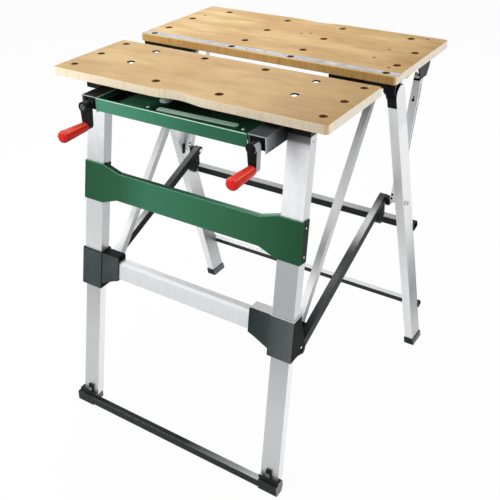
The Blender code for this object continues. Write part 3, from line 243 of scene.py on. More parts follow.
def bamboo_paint(name, shift, tones, edge_light, edge_dark, marks=(), dowel=None):
    """Laminated bamboo: strips on the faces, upright fibres on the edges, pale end grain, painted shade in
    the holes and towards the right end, and a painted highlight on the rounded edges.
    """
    paint = Paint(name, roughness=0.42, specular=0.16)
    strips = paint.noise(1.0, (0.7, 165, 1), detail=2.0, offset=shift)
    grain = paint.noise(1.0, (9, 900, 9), detail=4.0, rough=0.65, offset=shift)
    cloud = paint.noise(1.0, (5.5, 13, 1), detail=3.0, offset=shift)
    face = paint.ramp(strips, [(0.2, tones[0]), (0.5, tones[1]), (0.8, tones[2])])
    face = paint.mix(paint.ramp(grain, [(0.35, 0.0), (0.75, 0.22)]), face, rgb(168, 132, 84))
    face = paint.mix(paint.ramp(cloud, [(0.4, 0.0), (0.68, 0.7)]), face, tones[3])
    patch = paint.noise(1.0, (11, 30, 1), detail=3.0, offset=(shift[0] + 5.0, shift[1], 0.0))
    face = paint.mix(paint.ramp(patch, [(0.5, 0.0), (0.72, 0.4)]), face, rgb(170, 122, 66))
    # Painted shade: the faces darken towards the right end, with a faint warm tint throughout.
    shade = paint.along("X", [(-340, rgb(250, 250, 238)), (0, rgb(248, 247, 234)), (200, rgb(234, 230, 214)),
                              (340, rgb(216, 208, 182))])
    face = paint.mix(1.0, face, shade, "MULTIPLY")
    upright = paint.noise(1.0, (230, 2, 12), detail=2.5, rough=0.6, offset=shift)
    edge = paint.ramp(upright, [(0.36, edge_dark), (0.5, edge_light), (0.68, edge_dark)])
    band = paint.noise(1.0, (38, 1, 6), detail=1.0, offset=shift)
    edge = paint.mix(paint.ramp(band, [(0.45, 0.0), (0.7, 0.55)]), edge, edge_light)
    # Painted shade: the edges darken towards the right end.
    edge = paint.mix(1.0, edge, paint.along("X", [(-340, 1.0), (60, 0.86), (340, 0.58)]), "MULTIPLY")
    side = paint.math("ABSOLUTE", paint.axis("Normal", "Y"))
    on_edge = paint.math("GREATER_THAN", side, 0.5)
    end = paint.math("GREATER_THAN", paint.math("ABSOLUTE", paint.axis("Normal", "X")), 0.6)
    end_grain = paint.ramp(paint.noise(1.0, (1, 260, 60), detail=2.0, offset=shift),
                           [(0.35, rgb(250, 236, 212)), (0.65, rgb(255, 248, 234))])
    colour = paint.mix(on_edge, face, edge)
    colour = paint.mix(end, colour, end_grain)
    corner = paint.math("MULTIPLY", paint.math("GREATER_THAN", paint.axis("Normal", "X"), 0.25),
                        paint.math("LESS_THAN", paint.axis("Normal", "Y"), -0.3))
    colour = paint.mix(paint.math("MULTIPLY", corner, 0.6), colour, rgb(216, 158, 94))
    # Painted shade on the walls of the holes below the top face.
    wall = paint.math("MULTIPLY", paint.math("LESS_THAN", paint.axis("Object", "Z"), (TOP_Z - 1.6) * MM),
                      paint.holes())
    colour = paint.mix(wall, colour, rgb(126, 74, 34))
    if marks:
        colour = paint.mix(paint.spots(marks, 4.6), colour, rgb(150, 112, 66))
        colour = paint.mix(paint.spots(marks, 3.4), colour, rgb(58, 44, 30))
    if dowel:
        colour = paint.mix(paint.spots([dowel], 4.0), colour, rgb(84, 52, 26))
    # Painted highlight on the rounded edges.
    rim = paint.edges(1.4)
    colour = paint.mix(paint.math("MULTIPLY", rim, 0.7), colour, rgb(250, 228, 186))
    paint.colour(colour)
    paint.roughness(paint.ramp(grain, [(0.3, 0.36), (0.7, 0.5)]))
    paint.bump(grain, 0.12, 0.0004)
    return paint.material


def aluminium_paint(name, tone, metallic, shine):
    """Anodised tube with a faint drawing grain along it."""
    paint = Paint(name, metallic=metallic, specular=0.5)
    lines = paint.noise(1.0, (420, 420, 4), detail=2.0)
    cloud = paint.noise(5.0, (1, 1, 0.5), detail=2.0)
    darker = tuple(value * 0.93 for value in tone[:3]) + (1,)
    colour = paint.ramp(lines, [(0.3, darker), (0.7, tone)])
    colour = paint.mix(paint.ramp(cloud, [(0.35, 0.0), (0.75, 0.25)]), colour, darker)
    paint.colour(colour)
    paint.roughness(paint.ramp(lines, [(0.3, shine), (0.7, shine + 0.1)]))
    paint.bump(lines, 0.04, 0.0002)
    return paint.material


def toned_aluminium(name, front_tones, side_tones, metallic=0.2, shine=0.42, shadow=None):
    """Brushed tube with painted light and shade: one list of (z, grey) stops for its front face, one for all
    the other faces, and an optional painted shadow.
    """
    paint = Paint(name, metallic=metallic, specular=0.3)
    lines = paint.noise(1.0, (420, 420, 4), detail=2.0)
    front = paint.along("Z", [(z, rgb(grey - 3, grey, grey + 2)) for z, grey in front_tones])
    flank = paint.along("Z", [(z, rgb(grey - 2, grey, grey + 2)) for z, grey in side_tones])
    if shadow:
        front = paint.mix(shadow(paint), front, rgb(40, 44, 48))
    colour = paint.mix(paint.math("LESS_THAN", paint.axis("Normal", "Y"), -0.3), flank, front)
    colour = paint.mix(paint.ramp(lines, [(0.3, 0.14), (0.7, 0.0)]), colour, rgb(150, 153, 156))
    paint.colour(colour)
    paint.roughness(paint.ramp(lines, [(0.3, shine), (0.7, shine + 0.1)]))
    paint.bump(lines, 0.04, 0.0002)
    return paint.material


def black_paint(name, tone, shine=0.32, worn=(40, 42, 45), rim=(150, 156, 160), side=None, mirror=0.0):
    """Satin black coat with a fine orange peel, a painted highlight on its edges, painted light and shade
    from side where given and, if asked, a metallic sheen on its upper faces.
    """
    paint = Paint(name, specular=0.12)
    peel = paint.noise(900.0, detail=1.5)
    smear = paint.noise(14.0, detail=3.0)
    colour = paint.mix(paint.ramp(smear, [(0.45, 0.0), (0.85, 0.35)]), rgb(*tone), rgb(*worn))
    # Painted light and shade, face by face.
    if side:
        colour = side(paint, colour)
    # Painted highlight on the rounded edges.
    colour = paint.mix(paint.math("MULTIPLY", paint.edges(1.1), 0.75), colour, rgb(*rim))
    paint.colour(colour)
    if mirror:
        paint.link(paint.math("MULTIPLY", paint.facing("Z", 0.5), mirror), paint.shader.inputs["Metallic"])
    paint.roughness(paint.ramp(smear, [(0.3, shine - 0.05), (0.75, shine + 0.1)]))
    paint.bump(peel, 0.06, 0.0002)
    return paint.material


def plastic_paint(name, tone, shine, speckle=0.08, specular=0.15, rim=None, side=None):
    """Moulded plastic with an eroded matt grain."""
    paint = Paint(name, specular=specular)
    grain = paint.noise(1400.0, detail=2.0)
    patch = paint.noise(22.0, detail=2.0)
    dark = rgb(*(max(0, c - 7) for c in tone))
    light = rgb(*(min(255, c + 8) for c in tone))
    colour = paint.ramp(patch, [(0.35, dark), (0.7, light)])
    # Painted light and shade, face by face.
    if side:
        colour = side(paint, colour)
    # The rounded edges take the rim colour: a painted highlight where it is lighter than the tone, painted
    # shade where it is darker.
    if rim:
        colour = paint.mix(paint.math("MULTIPLY", paint.edges(1.0), 0.7), colour, rgb(*rim))
    paint.colour(colour)
    paint.roughness(paint.ramp(patch, [(0.3, shine - 0.05), (0.7, shine + 0.08)]))
    paint.bump(grain, speckle, 0.0003)
    return paint.material


def green_paint(name, tone, light, shine, side, rim=(150, 200, 176)):
    """Satin green coat on sheet steel."""
    paint = Paint(name, specular=0.08)
    peel = paint.noise(800.0, detail=1.5)
    cloud = paint.noise(5.0, (0.6, 1, 1), detail=2.0)
    colour = paint.mix(paint.ramp(cloud, [(0.3, 0.0), (0.75, 0.6)]), rgb(*tone), rgb(*light))
    # Painted light and shade, face by face.
    colour = side(paint, colour)
    # Painted highlight on the rounded edges.
    colour = paint.mix(paint.math("MULTIPLY", paint.edges(0.9), 0.8), colour, rgb(*rim))
    paint.colour(colour)
    paint.roughness(paint.ramp(cloud, [(0.3, shine - 0.04), (0.7, shine + 0.06)]))
    paint.bump(peel, 0.05, 0.0002)
    return paint.material


def steel_paint(name, tone=(196, 198, 202), shine=0.25):
    """Zinc-plated steel."""
    paint = Paint(name, metallic=0.9)
    patch = paint.noise(160.0, detail=3.0)
    dark = rgb(*(max(0, c - 16) for c in tone))
    paint.colour(paint.ramp(patch, [(0.35, dark), (0.65, rgb(*tone))]))
    paint.roughness(paint.ramp(patch, [(0.3, shine), (0.7, shine + 0.12)]))
    paint.bump(patch, 0.05, 0.0002)
    return paint.material


def ruler_paint(name):
    """Dull grey scale with a tick each 5 mm and longer ones each 10 and 50 mm."""
    paint = Paint(name, metallic=0.35, roughness=0.5, specular=0.3)
    patch = paint.noise(30.0, detail=3.0)
    colour = paint.ramp(patch, [(0.3, rgb(150, 154, 164)), (0.7, rgb(184, 184, 188))])
    back = paint.axis("Object", "Y")
    for pitch, width, depth in ((5.0, 0.6, 5.0), (10.0, 0.9, 7.5), (50.0, 1.2, 19.0)):
        pitches = paint.math("DIVIDE", paint.axis("Object", "X"), pitch * MM)
        phase = paint.math("FRACT", paint.math("ADD", pitches, 100.0))
        line = paint.math("LESS_THAN", phase, width / pitch)
        edge = (RULER_FRONT + depth + DATUM_Y) * MM
        line = paint.math("MULTIPLY", line, paint.math("LESS_THAN", back, edge))
        colour = paint.mix(paint.math("MULTIPLY", line, 0.75), colour, rgb(74, 76, 88))
    paint.colour(colour)
    return paint.material


def right_side(tone):
    """One tone of painted light on the faces that look along plus X, towards the right."""
    def shade(paint, colour):
        return paint.mix(paint.facing("X"), colour, rgb(*tone))
    return shade


def rail_side(paint, colour):
    """Painted grey sheen on each rail's right side, and on the right rail's top, that fades to the back."""
    sheen = paint.along("Y", [(-28, rgb(176, 180, 182)), (-22, rgb(128, 132, 135)), (14, rgb(58, 61, 63)),
                              (50, rgb(10, 11, 12))])
    colour = paint.mix(paint.facing("X"), colour, sheen)
    top = paint.along("Y", [(-28, rgb(62, 65, 67)), (-4, rgb(84, 88, 90)), (10, rgb(92, 96, 98)),
                            (24, rgb(40, 42, 45)), (38, rgb(10, 11, 13))])
    right = paint.math("GREATER_THAN", paint.axis("Object", "X"), 0.0)
    return paint.mix(paint.math("MULTIPLY", paint.facing("Z"), right), colour, top)


def bar_side(paint, colour):
    """Painted glare: the foot bar's top turns light grey towards its right end."""
    top = paint.along("X", [(-250, rgb(14, 16, 16)), (40, rgb(20, 22, 22)), (190, rgb(150, 154, 152)),
                            (253, rgb(206, 208, 206))])
    return paint.mix(paint.facing("Z"), colour, top)


def crank_side(paint, colour):
    """Painted light and shade: the right crank's side is light, the left one's is as dark as its front."""
    tone = paint.along("X", [(-10, rgb(14, 16, 17)), (10, rgb(176, 179, 181))])
    return paint.mix(paint.facing("X", 0.5), colour, tone)


def rear_bar_side(top):
    """Painted sheen: a rear bar's top face is light between the legs, its front and ends stay black."""
    def shade(paint, colour):
        light, dark = rgb(top, top + 3, top + 3), rgb(16, 18, 18)
        band = paint.along("X", [(-322, dark), (-318, light), (318, light), (322, dark)])
        return paint.mix(paint.facing("Z", 0.6), colour, band)
    return shade


def red_shade_and_highlight(paint, colour):
    """Painted shade and highlight: deeper red below and a lighter streak along the upper side."""
    low, mid, high, top = rgb(132, 10, 8), rgb(220, 26, 20), rgb(250, 112, 88), rgb(232, 46, 34)
    return paint.ramp(paint.math("MULTIPLY_ADD", paint.axis("Normal", "Z"), 0.5, 0.5),
                      [(0.1, low), (0.5, mid), (0.78, mid), (0.86, high), (0.97, top)])


def bracket_side(paint, colour):
    """Painted light and shade: the right bracket has a lighter front and a light lid, the left one a black
    lid; flanks are dark.
    """
    right = paint.math("GREATER_THAN", paint.axis("Object", "X"), 0.0)
    front = paint.along("X", [(170, rgb(36, 43, 44)), (215, rgb(50, 58, 58)), (245, rgb(78, 84, 86)),
                              (286, rgb(92, 99, 100))])
    colour = paint.mix(paint.math("MULTIPLY", right, 0.9), colour, front)
    lid = paint.along("X", [(-286, rgb(2, 3, 3)), (-10, rgb(2, 3, 3)), (10, rgb(226, 228, 228)),
                            (286, rgb(226, 228, 228))])
    colour = paint.mix(paint.facing("Z", 0.7), colour, lid)
    return paint.mix(paint.facing("X", 0.5), colour, rgb(6, 8, 9))


def link_paint(name, greys):
    """Black coat of a link, whose upper face has a painted light grey at each height."""
    def shade(paint, colour):
        top = paint.along("Z", [(z, rgb(grey, grey + 3, grey + 3)) for z, grey in greys])
        return paint.mix(paint.facing("Z", 0.5), colour, top)
    return black_paint(name, (6, 7, 8), 0.34, (14, 16, 16), (60, 63, 63), shade)


def foot_side(paint, colour):
    """Painted light and shade: a front foot's top is darker and its right side lighter."""
    colour = paint.mix(paint.facing("Z"), colour, rgb(24, 26, 27))
    return paint.mix(paint.facing("X"), colour, rgb(128, 134, 132))


def lip_light(paint, colour):
    """Painted light: the tray's front lip is brightest at its left end; its floor shows painted dark
    reflections.
    """
    front = paint.math("LESS_THAN", paint.axis("Normal", "Y"), -0.6)
    lip = paint.along("X", [(-189, rgb(84, 150, 124)), (-60, rgb(66, 132, 104)), (80, rgb(48, 106, 80)),
                            (189, rgb(44, 98, 72))])
    colour = paint.mix(front, colour, lip)
    floor = paint.along("X", [(-172, rgb(4, 12, 8)), (-156, rgb(6, 16, 11)), (-146, rgb(60, 112, 84)),
                              (-92, rgb(54, 104, 78)), (-62, rgb(10, 34, 25)), (-20, rgb(6, 26, 19)),
                              (90, rgb(16, 52, 38)), (189, rgb(34, 84, 60))])
    low = paint.math("LESS_THAN", paint.axis("Object", "Z"), (TRAY_FLOOR + 0.95) * MM)
    return paint.mix(paint.math("MULTIPLY", low, paint.facing("Z")), colour, floor)


def panel_tone(paint, colour):
    """Painted light and shade: the panel is lightest left of its middle and darkens to both ends and to its
    flanks.
    """
    face = paint.along("X", [(-285, rgb(34, 82, 54)), (-180, rgb(44, 94, 66)), (-100, rgb(60, 120, 94)),
                             (0, rgb(56, 116, 86)), (100, rgb(52, 106, 74)), (190, rgb(44, 94, 64)),
                             (285, rgb(32, 76, 48))])
    colour = paint.mix(0.9, colour, face)
    return paint.mix(paint.facing("X", 0.5), colour, rgb(20, 46, 30))


def flange_tone(paint, colour):
    """The top flange is dark on the left and catches the light on the right."""
    top = paint.along("X", [(-232, rgb(22, 62, 42)), (-60, rgb(28, 84, 58)), (60, rgb(70, 138, 108)),
                            (150, rgb(128, 184, 158)), (232, rgb(176, 216, 196))])
    return paint.mix(paint.facing("Z", 0.6), colour, top)


def leg_shadow(paint):
    """How much of the rail's dark reflection shows at each height of the right leg."""
    return paint.along("Z", [(700, 0.0), (754, 0.04), (764, 0.3), (770, 0.85), (783, 0.97)])


SCREW_PLACES = [(10, 496), (30, 507), (245, 405), (250, 477), (301, 356), (296, 595), (-298, 521)]
SCREW_MARKS = [(x, y, TOP_Z) for x, y in SCREW_PLACES]
DOWEL = (153, 307, 826)
FRONT_TONES = [rgb(184, 146, 92), rgb(194, 157, 102), rgb(205, 168, 113), rgb(216, 184, 130)]
REAR_TONES = [rgb(190, 148, 90), rgb(202, 162, 102), rgb(214, 176, 116), rgb(236, 206, 152)]
BAMBOO_FRONT = bamboo_paint("bamboo_front", (0.0, 0.0, 0.0), FRONT_TONES, rgb(255, 241, 216),
                            rgb(248, 227, 190))
BAMBOO_REAR = bamboo_paint("bamboo_rear", (3.0, 7.0, 0.0), REAR_TONES, rgb(206, 164, 98), rgb(176, 128, 62),
                           SCREW_MARKS, DOWEL)
# Painted light and shade: each aluminium finish below holds the greys that the light gives its faces at each
# height, so the left and right legs are lit and shaded copies of one metal.
ALUMINIUM_LEFT = toned_aluminium(
    "left_leg_aluminium",
    [(300, 236), (520, 222), (620, 218), (700, 240), (783, 250)],
    [(300, 208), (560, 206), (783, 204)], 0.7, 0.32)
ALUMINIUM_RIGHT = toned_aluminium(
    "right_leg_aluminium",
    [(300, 192), (430, 184), (522, 186), (526, 244), (620, 250), (690, 255), (783, 255)],
    [(300, 230), (560, 226), (783, 228)], 0.6, 0.34, leg_shadow)
INNER_LEFT = toned_aluminium(
    "left_inner_aluminium",
    [(330, 238), (400, 234), (430, 205), (470, 194), (505, 208), (540, 208), (572, 192), (604, 174),
     (664, 150), (708, 132), (750, 112)],
    [(330, 186), (400, 200), (450, 212), (560, 210), (660, 204), (750, 194)])
INNER_RIGHT = toned_aluminium(
    "right_inner_aluminium",
    [(330, 236), (400, 232), (430, 204), (470, 190), (505, 204), (540, 216), (572, 230), (604, 242),
     (640, 255), (664, 250), (708, 224), (750, 205)],
    [(330, 190), (400, 208), (450, 222), (560, 220), (660, 210), (750, 196)])
ALUMINIUM_REAR = toned_aluminium(
    "rear_aluminium",
    [(60, 234), (200, 236), (297, 228), (426, 210), (520, 206), (640, 226), (790, 255)],
    [(60, 196), (154, 156), (200, 140), (297, 176), (380, 222), (426, 238), (520, 248), (690, 252),
     (716, 238), (800, 246)], 0.7, 0.3)
ALUMINIUM_BEAM = toned_aluminium("beam_aluminium", [(350, 222), (390, 228)], [(350, 226), (390, 234)])
ALUMINIUM_LOW = toned_aluminium(
    "lower_aluminium",
    [(60, 200), (180, 206), (262, 198), (300, 194)],
    [(60, 246), (180, 252), (300, 255)], 0.7, 0.3)
ALUMINIUM_STRUT = toned_aluminium(
    "strut_aluminium",
    [(470, 226), (560, 240), (620, 255), (780, 255)],
    [(470, 238), (800, 240)], 0.25, 0.4)
STRUT_GREY = aluminium_paint("strut_back_grey", rgb(176, 178, 182), 0.5, 0.4)
BLACK = black_paint("black_coat", (12, 13, 15), worn=(26, 28, 30), rim=(60, 63, 66))
RAIL_BLACK = black_paint("rail_black", (14, 15, 17), rim=(190, 192, 194), side=rail_side)
BAR_BLACK = black_paint("bar_black", (30, 34, 33), 0.4, (42, 46, 45), (206, 210, 208), bar_side)
CRANK_BLACK = black_paint("crank_black", (16, 18, 20), rim=(62, 66, 68), side=crank_side)
# Painted light: the grey of the left crank's hub disc, whose twin on the right stays black.
CRANK_DISC_LIGHT = black_paint("crank_disc_light", (84, 88, 90), 0.35, (100, 104, 106))
LINK_RIGHT = link_paint(
    "right_link_black",
    [(313, 26), (345, 60), (358, 80), (375, 98), (392, 114), (405, 92), (419, 84), (428, 136), (438, 206),
     (450, 252), (462, 255), (474, 190), (486, 96)])
LINK_LEFT = link_paint(
    "left_link_black",
    [(318, 36), (330, 140), (345, 235), (363, 255), (385, 190), (409, 96), (440, 66), (470, 110)])
UPPER_BAR_BLACK = black_paint("upper_bar_black", (12, 14, 14), 0.3, (24, 27, 27), (90, 94, 94),
                              rear_bar_side(146), 0.28)
LOWER_BAR_BLACK = black_paint("lower_bar_black", (34, 37, 37), 0.3, (48, 52, 51), (110, 114, 114),
                              rear_bar_side(206), 0.16)
DARK_PLASTIC = plastic_paint("dark_plastic", (66, 73, 74), 0.55, specular=0.08, rim=(20, 23, 24),
                             side=bracket_side)
FOOT_PLASTIC = plastic_paint("foot_plastic", (34, 37, 37), 0.5, rim=(110, 114, 113), side=foot_side)
REAR_FOOT_PLASTIC = plastic_paint("rear_foot_plastic", (20, 22, 24), 0.5, side=right_side((112, 116, 116)))
HEAD_PLASTIC = plastic_paint("head_plastic", (12, 13, 15), 0.42, side=right_side((46, 50, 54)))
BLACK_PLASTIC = plastic_paint("black_plastic", (16, 18, 20), 0.42, rim=(84, 88, 90))
GREEN_PANEL = green_paint("green_panel", (36, 84, 56), (42, 92, 64), 0.5, panel_tone, (70, 130, 100))
GREEN_FLANGE = green_paint("green_flange", (26, 64, 44), (34, 78, 54), 0.5, flange_tone, (60, 116, 88))
GREEN_TRAY = green_paint("green_tray", (30, 78, 56), (40, 92, 68), 0.3, lip_light)
# Painted highlights: the pale green of the tray's bead, dimple and lip edge stands in for the light they
# catch.
MINT = plastic_paint("tray_highlight_mint", (192, 228, 206), 0.3, 0.02)
# Painted highlight: the light green along the tray's left wall edge.
TRAY_EDGE_HIGHLIGHT = plastic_paint("tray_edge_highlight", (152, 202, 178), 0.35, 0.02, 0.4)
# Painted highlight: the light green along the panel's top edge.
PANEL_EDGE_HIGHLIGHT = plastic_paint("panel_edge_highlight_green", (112, 172, 144), 0.4, 0.02)
# Painted shade: the dark green of the cups in the jaw's bolt recesses and of the wedge beside the tray's
# bead.
MINT_DARK = plastic_paint("green_shade", (6, 22, 15), 0.4, 0.02)
RED = plastic_paint("red_plastic", (196, 16, 14), 0.3, 0.03, 0.2, side=red_shade_and_highlight)
RED_DARK = plastic_paint("red_groove", (92, 12, 10), 0.4, 0.02)
STEEL = steel_paint("zinc_steel")
BRIGHT = steel_paint("bright_steel", (244, 245, 246), 0.35)
RIVET = steel_paint("rivet_steel", (170, 172, 176), 0.35)
RULER = ruler_paint("ruler_scale")
INK = plastic_paint("ruler_ink", (58, 62, 84), 0.6, 0.02)
SHADE = plastic_paint("hole_shade", (6, 6, 7), 0.8, 0.02, 0.0)
# Painted highlight: the pale grey of the rail mouths' edges and the latch ribs.
RIM_HIGHLIGHT = plastic_paint("rim_highlight_grey", (176, 180, 182), 0.35, 0.02, 0.4)
LINE = plastic_paint("strut_line_grey", (96, 98, 102), 0.5, 0.02)

FINISHES = {
    "front_jaw": BAMBOO_FRONT,
    "rear_jaw": BAMBOO_REAR,
    "ruler_strip": RULER,
    "tool_tray": GREEN_TRAY,
    "front_panel": GREEN_PANEL,
    "cross_beam": ALUMINIUM_BEAM,
    "foot_bar": BAR_BLACK,
    "rear_upper_bar": UPPER_BAR_BLACK,
    "rear_lower_bar": LOWER_BAR_BLACK,
    "rail": RAIL_BLACK,
    "rear_support": BLACK,
    "jaw_carriage": STEEL,
    "screw_bearing": BLACK_PLASTIC,
    "lead_screw": STEEL,
    "crank_arm": CRANK_BLACK,
    "handle_grip": RED,
    "handle_bolt": STEEL,
    "upper_leg_left": ALUMINIUM_LEFT,
    "upper_leg_right": ALUMINIUM_RIGHT,
    "leg_head": HEAD_PLASTIC,
    "corner_bracket": DARK_PLASTIC,
    "inner_leg_left": INNER_LEFT,
    "inner_leg_right": INNER_RIGHT,
    "lower_leg": ALUMINIUM_LOW,
    "front_foot": FOOT_PLASTIC,
    "foot_latch": BLACK_PLASTIC,
    "rear_leg": ALUMINIUM_REAR,
    "rear_foot": REAR_FOOT_PLASTIC,
    "leg_shroud": BLACK,
    "apex_bracket": BLACK,
    "apex_pin": ALUMINIUM_REAR,
    "link_left": LINK_LEFT,
    "link_right": LINK_RIGHT,
    "link_clip": BLACK_PLASTIC,
    "strut": ALUMINIUM_STRUT,
    "strut_pin": STEEL,
    "strut_bracket": BLACK,
}


def base_name(node):
    """A node's name without its side."""
    for suffix in ("_left", "_right"):
        if node.endswith(suffix):
            return node[:-len(suffix)]
    return node


def dress_nodes():
    """Give each node its own finish, or the one that both sides share."""
    for name, thing in nodes.items():
        thing.data.materials.clear()
        thing.data.materials.append(FINISHES.get(name) or FINISHES[base_name(name)])


dress_nodes()


# Detail pieces

UP = (0, 0, 1)
FORWARD = (0, -1, 0)


def add_piece(name, vertices, faces, paint, body, smooth=False):
    """A closed mesh in frame metres that moves with a body."""
    mesh = bpy.data.meshes.new(name)
    mesh.from_pydata([tuple(v) for v in vertices], [], faces)
    shape = bmesh.new()
    shape.from_mesh(mesh)
    bmesh.ops.recalc_face_normals(shape, faces=shape.faces)
    shape.to_mesh(mesh)
    shape.free()
    if smooth:
        mesh.shade_smooth()
        mesh.set_sharp_from_angle(angle=math.radians(40))
    mesh.materials.append(paint)
    made = bpy.data.objects.new(name, mesh)
    bpy.context.scene.collection.objects.link(made)
    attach(made, body)
    return made


def spun(name, profile, centre, axis, paint, body, segments=20):
    """A turned shape: profile holds (radius, height) along an axis from a centre in bench millimetres."""
    axis = Vector(axis).normalized()
    across = axis.orthogonal().normalized()
    third = axis.cross(across)
    start = point(*centre)
    vertices, faces = [], []
    for radius, height in profile:
        for step in range(segments):
            angle = 2 * math.pi * step / segments
            spoke = across * math.cos(angle) + third * math.sin(angle)
            vertices.append(start + (axis * height + spoke * radius) * MM)
    for ring in range(len(profile) - 1):
        for step in range(segments):
            after = (step + 1) % segments
            faces.append((ring * segments + step, ring * segments + after,
                          (ring + 1) * segments + after, (ring + 1) * segments + step))
    faces.append(tuple(range(segments)))
    faces.append(tuple(range((len(profile) - 1) * segments, len(profile) * segments)))
    return add_piece(name, vertices, faces, paint, body, True)


def dome(name, radius, height, centre, axis, paint, body):
    """A low round head with a soft edge."""
    profile = [(radius, 0.0), (radius, height * 0.35), (radius * 0.86, height * 0.75),
               (radius * 0.5, height * 0.96), (radius * 0.08, height)]
    return spun(name, profile, centre, axis, paint, body)


def hole(name, radius, height, centre, axis, body, segments):
    """A flat dark disc of painted shade that reads as a drilled hole."""
    spun(name, [(radius, 0.0), (radius, height)], centre, axis, SHADE, body, segments)


def slab(name, outline, up, paint, body):
    """A plate from an outline of bench points, thickened along a vector in millimetres."""
    base = [point(*corner) for corner in outline]
    lift = Vector(up) * MM
    count = len(base)
    vertices = base + [corner + lift for corner in base]
    faces = [tuple(range(count)), tuple(range(count, 2 * count))]
    for step in range(count):
        after = (step + 1) % count
        faces.append((step, after, count + after, count + step))
    return add_piece(name, vertices, faces, paint, body)


def bar(name, start, end, radius, paint, body):
    """A round rod between two bench points, with rounded ends."""
    along = Vector(end) - Vector(start)
    length = along.length
    tip = radius * 0.6
    profile = [(radius * 0.4, 0.0), (radius, tip), (radius, length - tip), (radius * 0.4, length)]
    return spun(name, profile, start, along, paint, body, 10)


def dress_jaw_bolts():
    """Bright round heads of the bolts that hold the front jaw, each in a dark cup of painted shade in its
    recess.
    """
    recess_floor = 827.1
    # Painted shade: a dark lining in each bolt recess.
    cup = [(9.7, 0.0), (9.7, 6.2), (9.1, 6.2), (9.1, 0.6), (0.5, 0.6)]
    for index, (x, y) in enumerate(((-208, 112), (-208, 202), (208, 112), (208, 202))):
        spun(f"bolt_recess_shade_{index}", cup, (x, y, recess_floor), UP, MINT_DARK, "front_jaw", 24)
        dome(f"jaw_bolt_{index}", 7.4, 4.6, (x + 1.2, y - 0.8, recess_floor + 0.9), UP, BRIGHT, "front_jaw")


def dress_ruler():
    """The scale lies a hair lower than in the CAD model, so that its numbers stay inside the part."""
    mesh = nodes["ruler_strip"].data.copy()
    mesh.name = "ruler_face"
    top = max(v.co.z for v in mesh.vertices)
    for vertex in mesh.vertices:
        if vertex.co.z > top - 0.0001:
            vertex.co.z = top - 0.00015
    mesh.materials.clear()
    mesh.materials.append(RULER)
    face = bpy.data.objects.new("ruler_face", mesh)
    bpy.context.scene.collection.objects.link(face)
    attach(face, "table")
    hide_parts("ruler_strip")
    vertices, faces = [], []
    room = 14
    for number in range(1, 14):
        x = 50 * number - BOARD_END
        if min(abs(abs(x) - hole_x) for hole_x in DOG_HOLE_XS) < room:
            continue
        curve = bpy.data.curves.new("digits", "FONT")
        curve.body = str(number * 5)
        curve.size = 8.5 * MM
        curve.align_x = "CENTER"
        curve.resolution_u = 3
        holder = bpy.data.objects.new("digits", curve)
        bpy.context.scene.collection.objects.link(holder)
        bpy.context.view_layer.update()
        flat = bpy.data.meshes.new_from_object(holder.evaluated_get(bpy.context.evaluated_depsgraph_get()))
        start = len(vertices)
        place = point(x + 1.0, RULER_FRONT + 9.5, TOP_Z - 0.05)
        vertices += [place + v.co for v in flat.vertices]
        faces += [tuple(start + i for i in polygon.vertices) for polygon in flat.polygons]
        bpy.data.objects.remove(holder)
        bpy.data.curves.remove(curve)
        bpy.data.meshes.remove(flat)
    add_piece("ruler_numbers", vertices, faces, INK, "table")


def dress_tray():
    """Pressed bead and dimple in a painted highlight green, a wedge of painted shade beside the bead, screws
    and painted highlights along the rolled edges of the tray's lip and left wall.
    """
    outline = ((-54, 4), (-50, 2.5), (134, 10.5), (138, 14), (138, 20), (134, 23), (-50, 17), (-54, 15))
    bead = [(x, y, TRAY_FLOOR) for x, y in outline]
    slab("tray_bead", bead, (0, 0, 2.6), MINT, "table")
    # Painted shade: a dark wedge beside the bead.
    wedge = [(x, y, TRAY_FLOOR) for x, y in ((-68, 3), (-55, 3), (-55, 19), (-60, 20))]
    slab("tray_bead_shade", wedge, (0, 0, 0.5), MINT_DARK, "table")
    dome("tray_dimple", 14.0, 5.5, (-70, 57, TRAY_FLOOR), UP, MINT, "table")
    for index, (x, y) in enumerate(((-80, 10), (155, 9.5))):
        dome(f"tray_screw_{index}", 4.2, 2.0, (x, y, TRAY_FLOOR), UP, BRIGHT, "table")
    # Painted highlights: light rods along the lip's and left wall's top edges.
    lip_y, lip_z = -29.9, 797.1
    bar("tray_lip_edge", (-188, lip_y, lip_z), (187, lip_y, lip_z), 0.95, MINT, "table")
    wall_start, wall_end = (-188.1, -29, 797.0), (-188.1, 120, 797.0)
    bar("tray_wall_edge", wall_start, wall_end, 0.8, TRAY_EDGE_HIGHLIGHT, "table")


def dress_rails():
    """Painted highlights on the top and right edges of each rail's open front end, and two small holes in its
    outer side.
    """
    front, low, top = -27.7, 766, 797
    for name, side in SIDES:
        x0, x1 = sorted((side * RAIL_IN, side * RAIL_OUT))
        bar(f"rail_edge_highlight_top_{name}", (x0 + 0.8, front, top + 0.2), (x1 - 0.8, front, top + 0.2), 0.9, RIM_HIGHLIGHT,
            "table")
        bar(f"rail_edge_highlight_side_{name}", (x1 - 0.9, front, low), (x1 - 0.9, front, top), 0.9, RIM_HIGHLIGHT,
            "table")
        for index, y in enumerate((-5.6, -14.7)):
            centre = (side * RAIL_OUT, y, low + 2.0)
            hole(f"rail_hole_{index}_{name}", 1.7, 0.35, centre, (side, 0, 0), "table", 12)


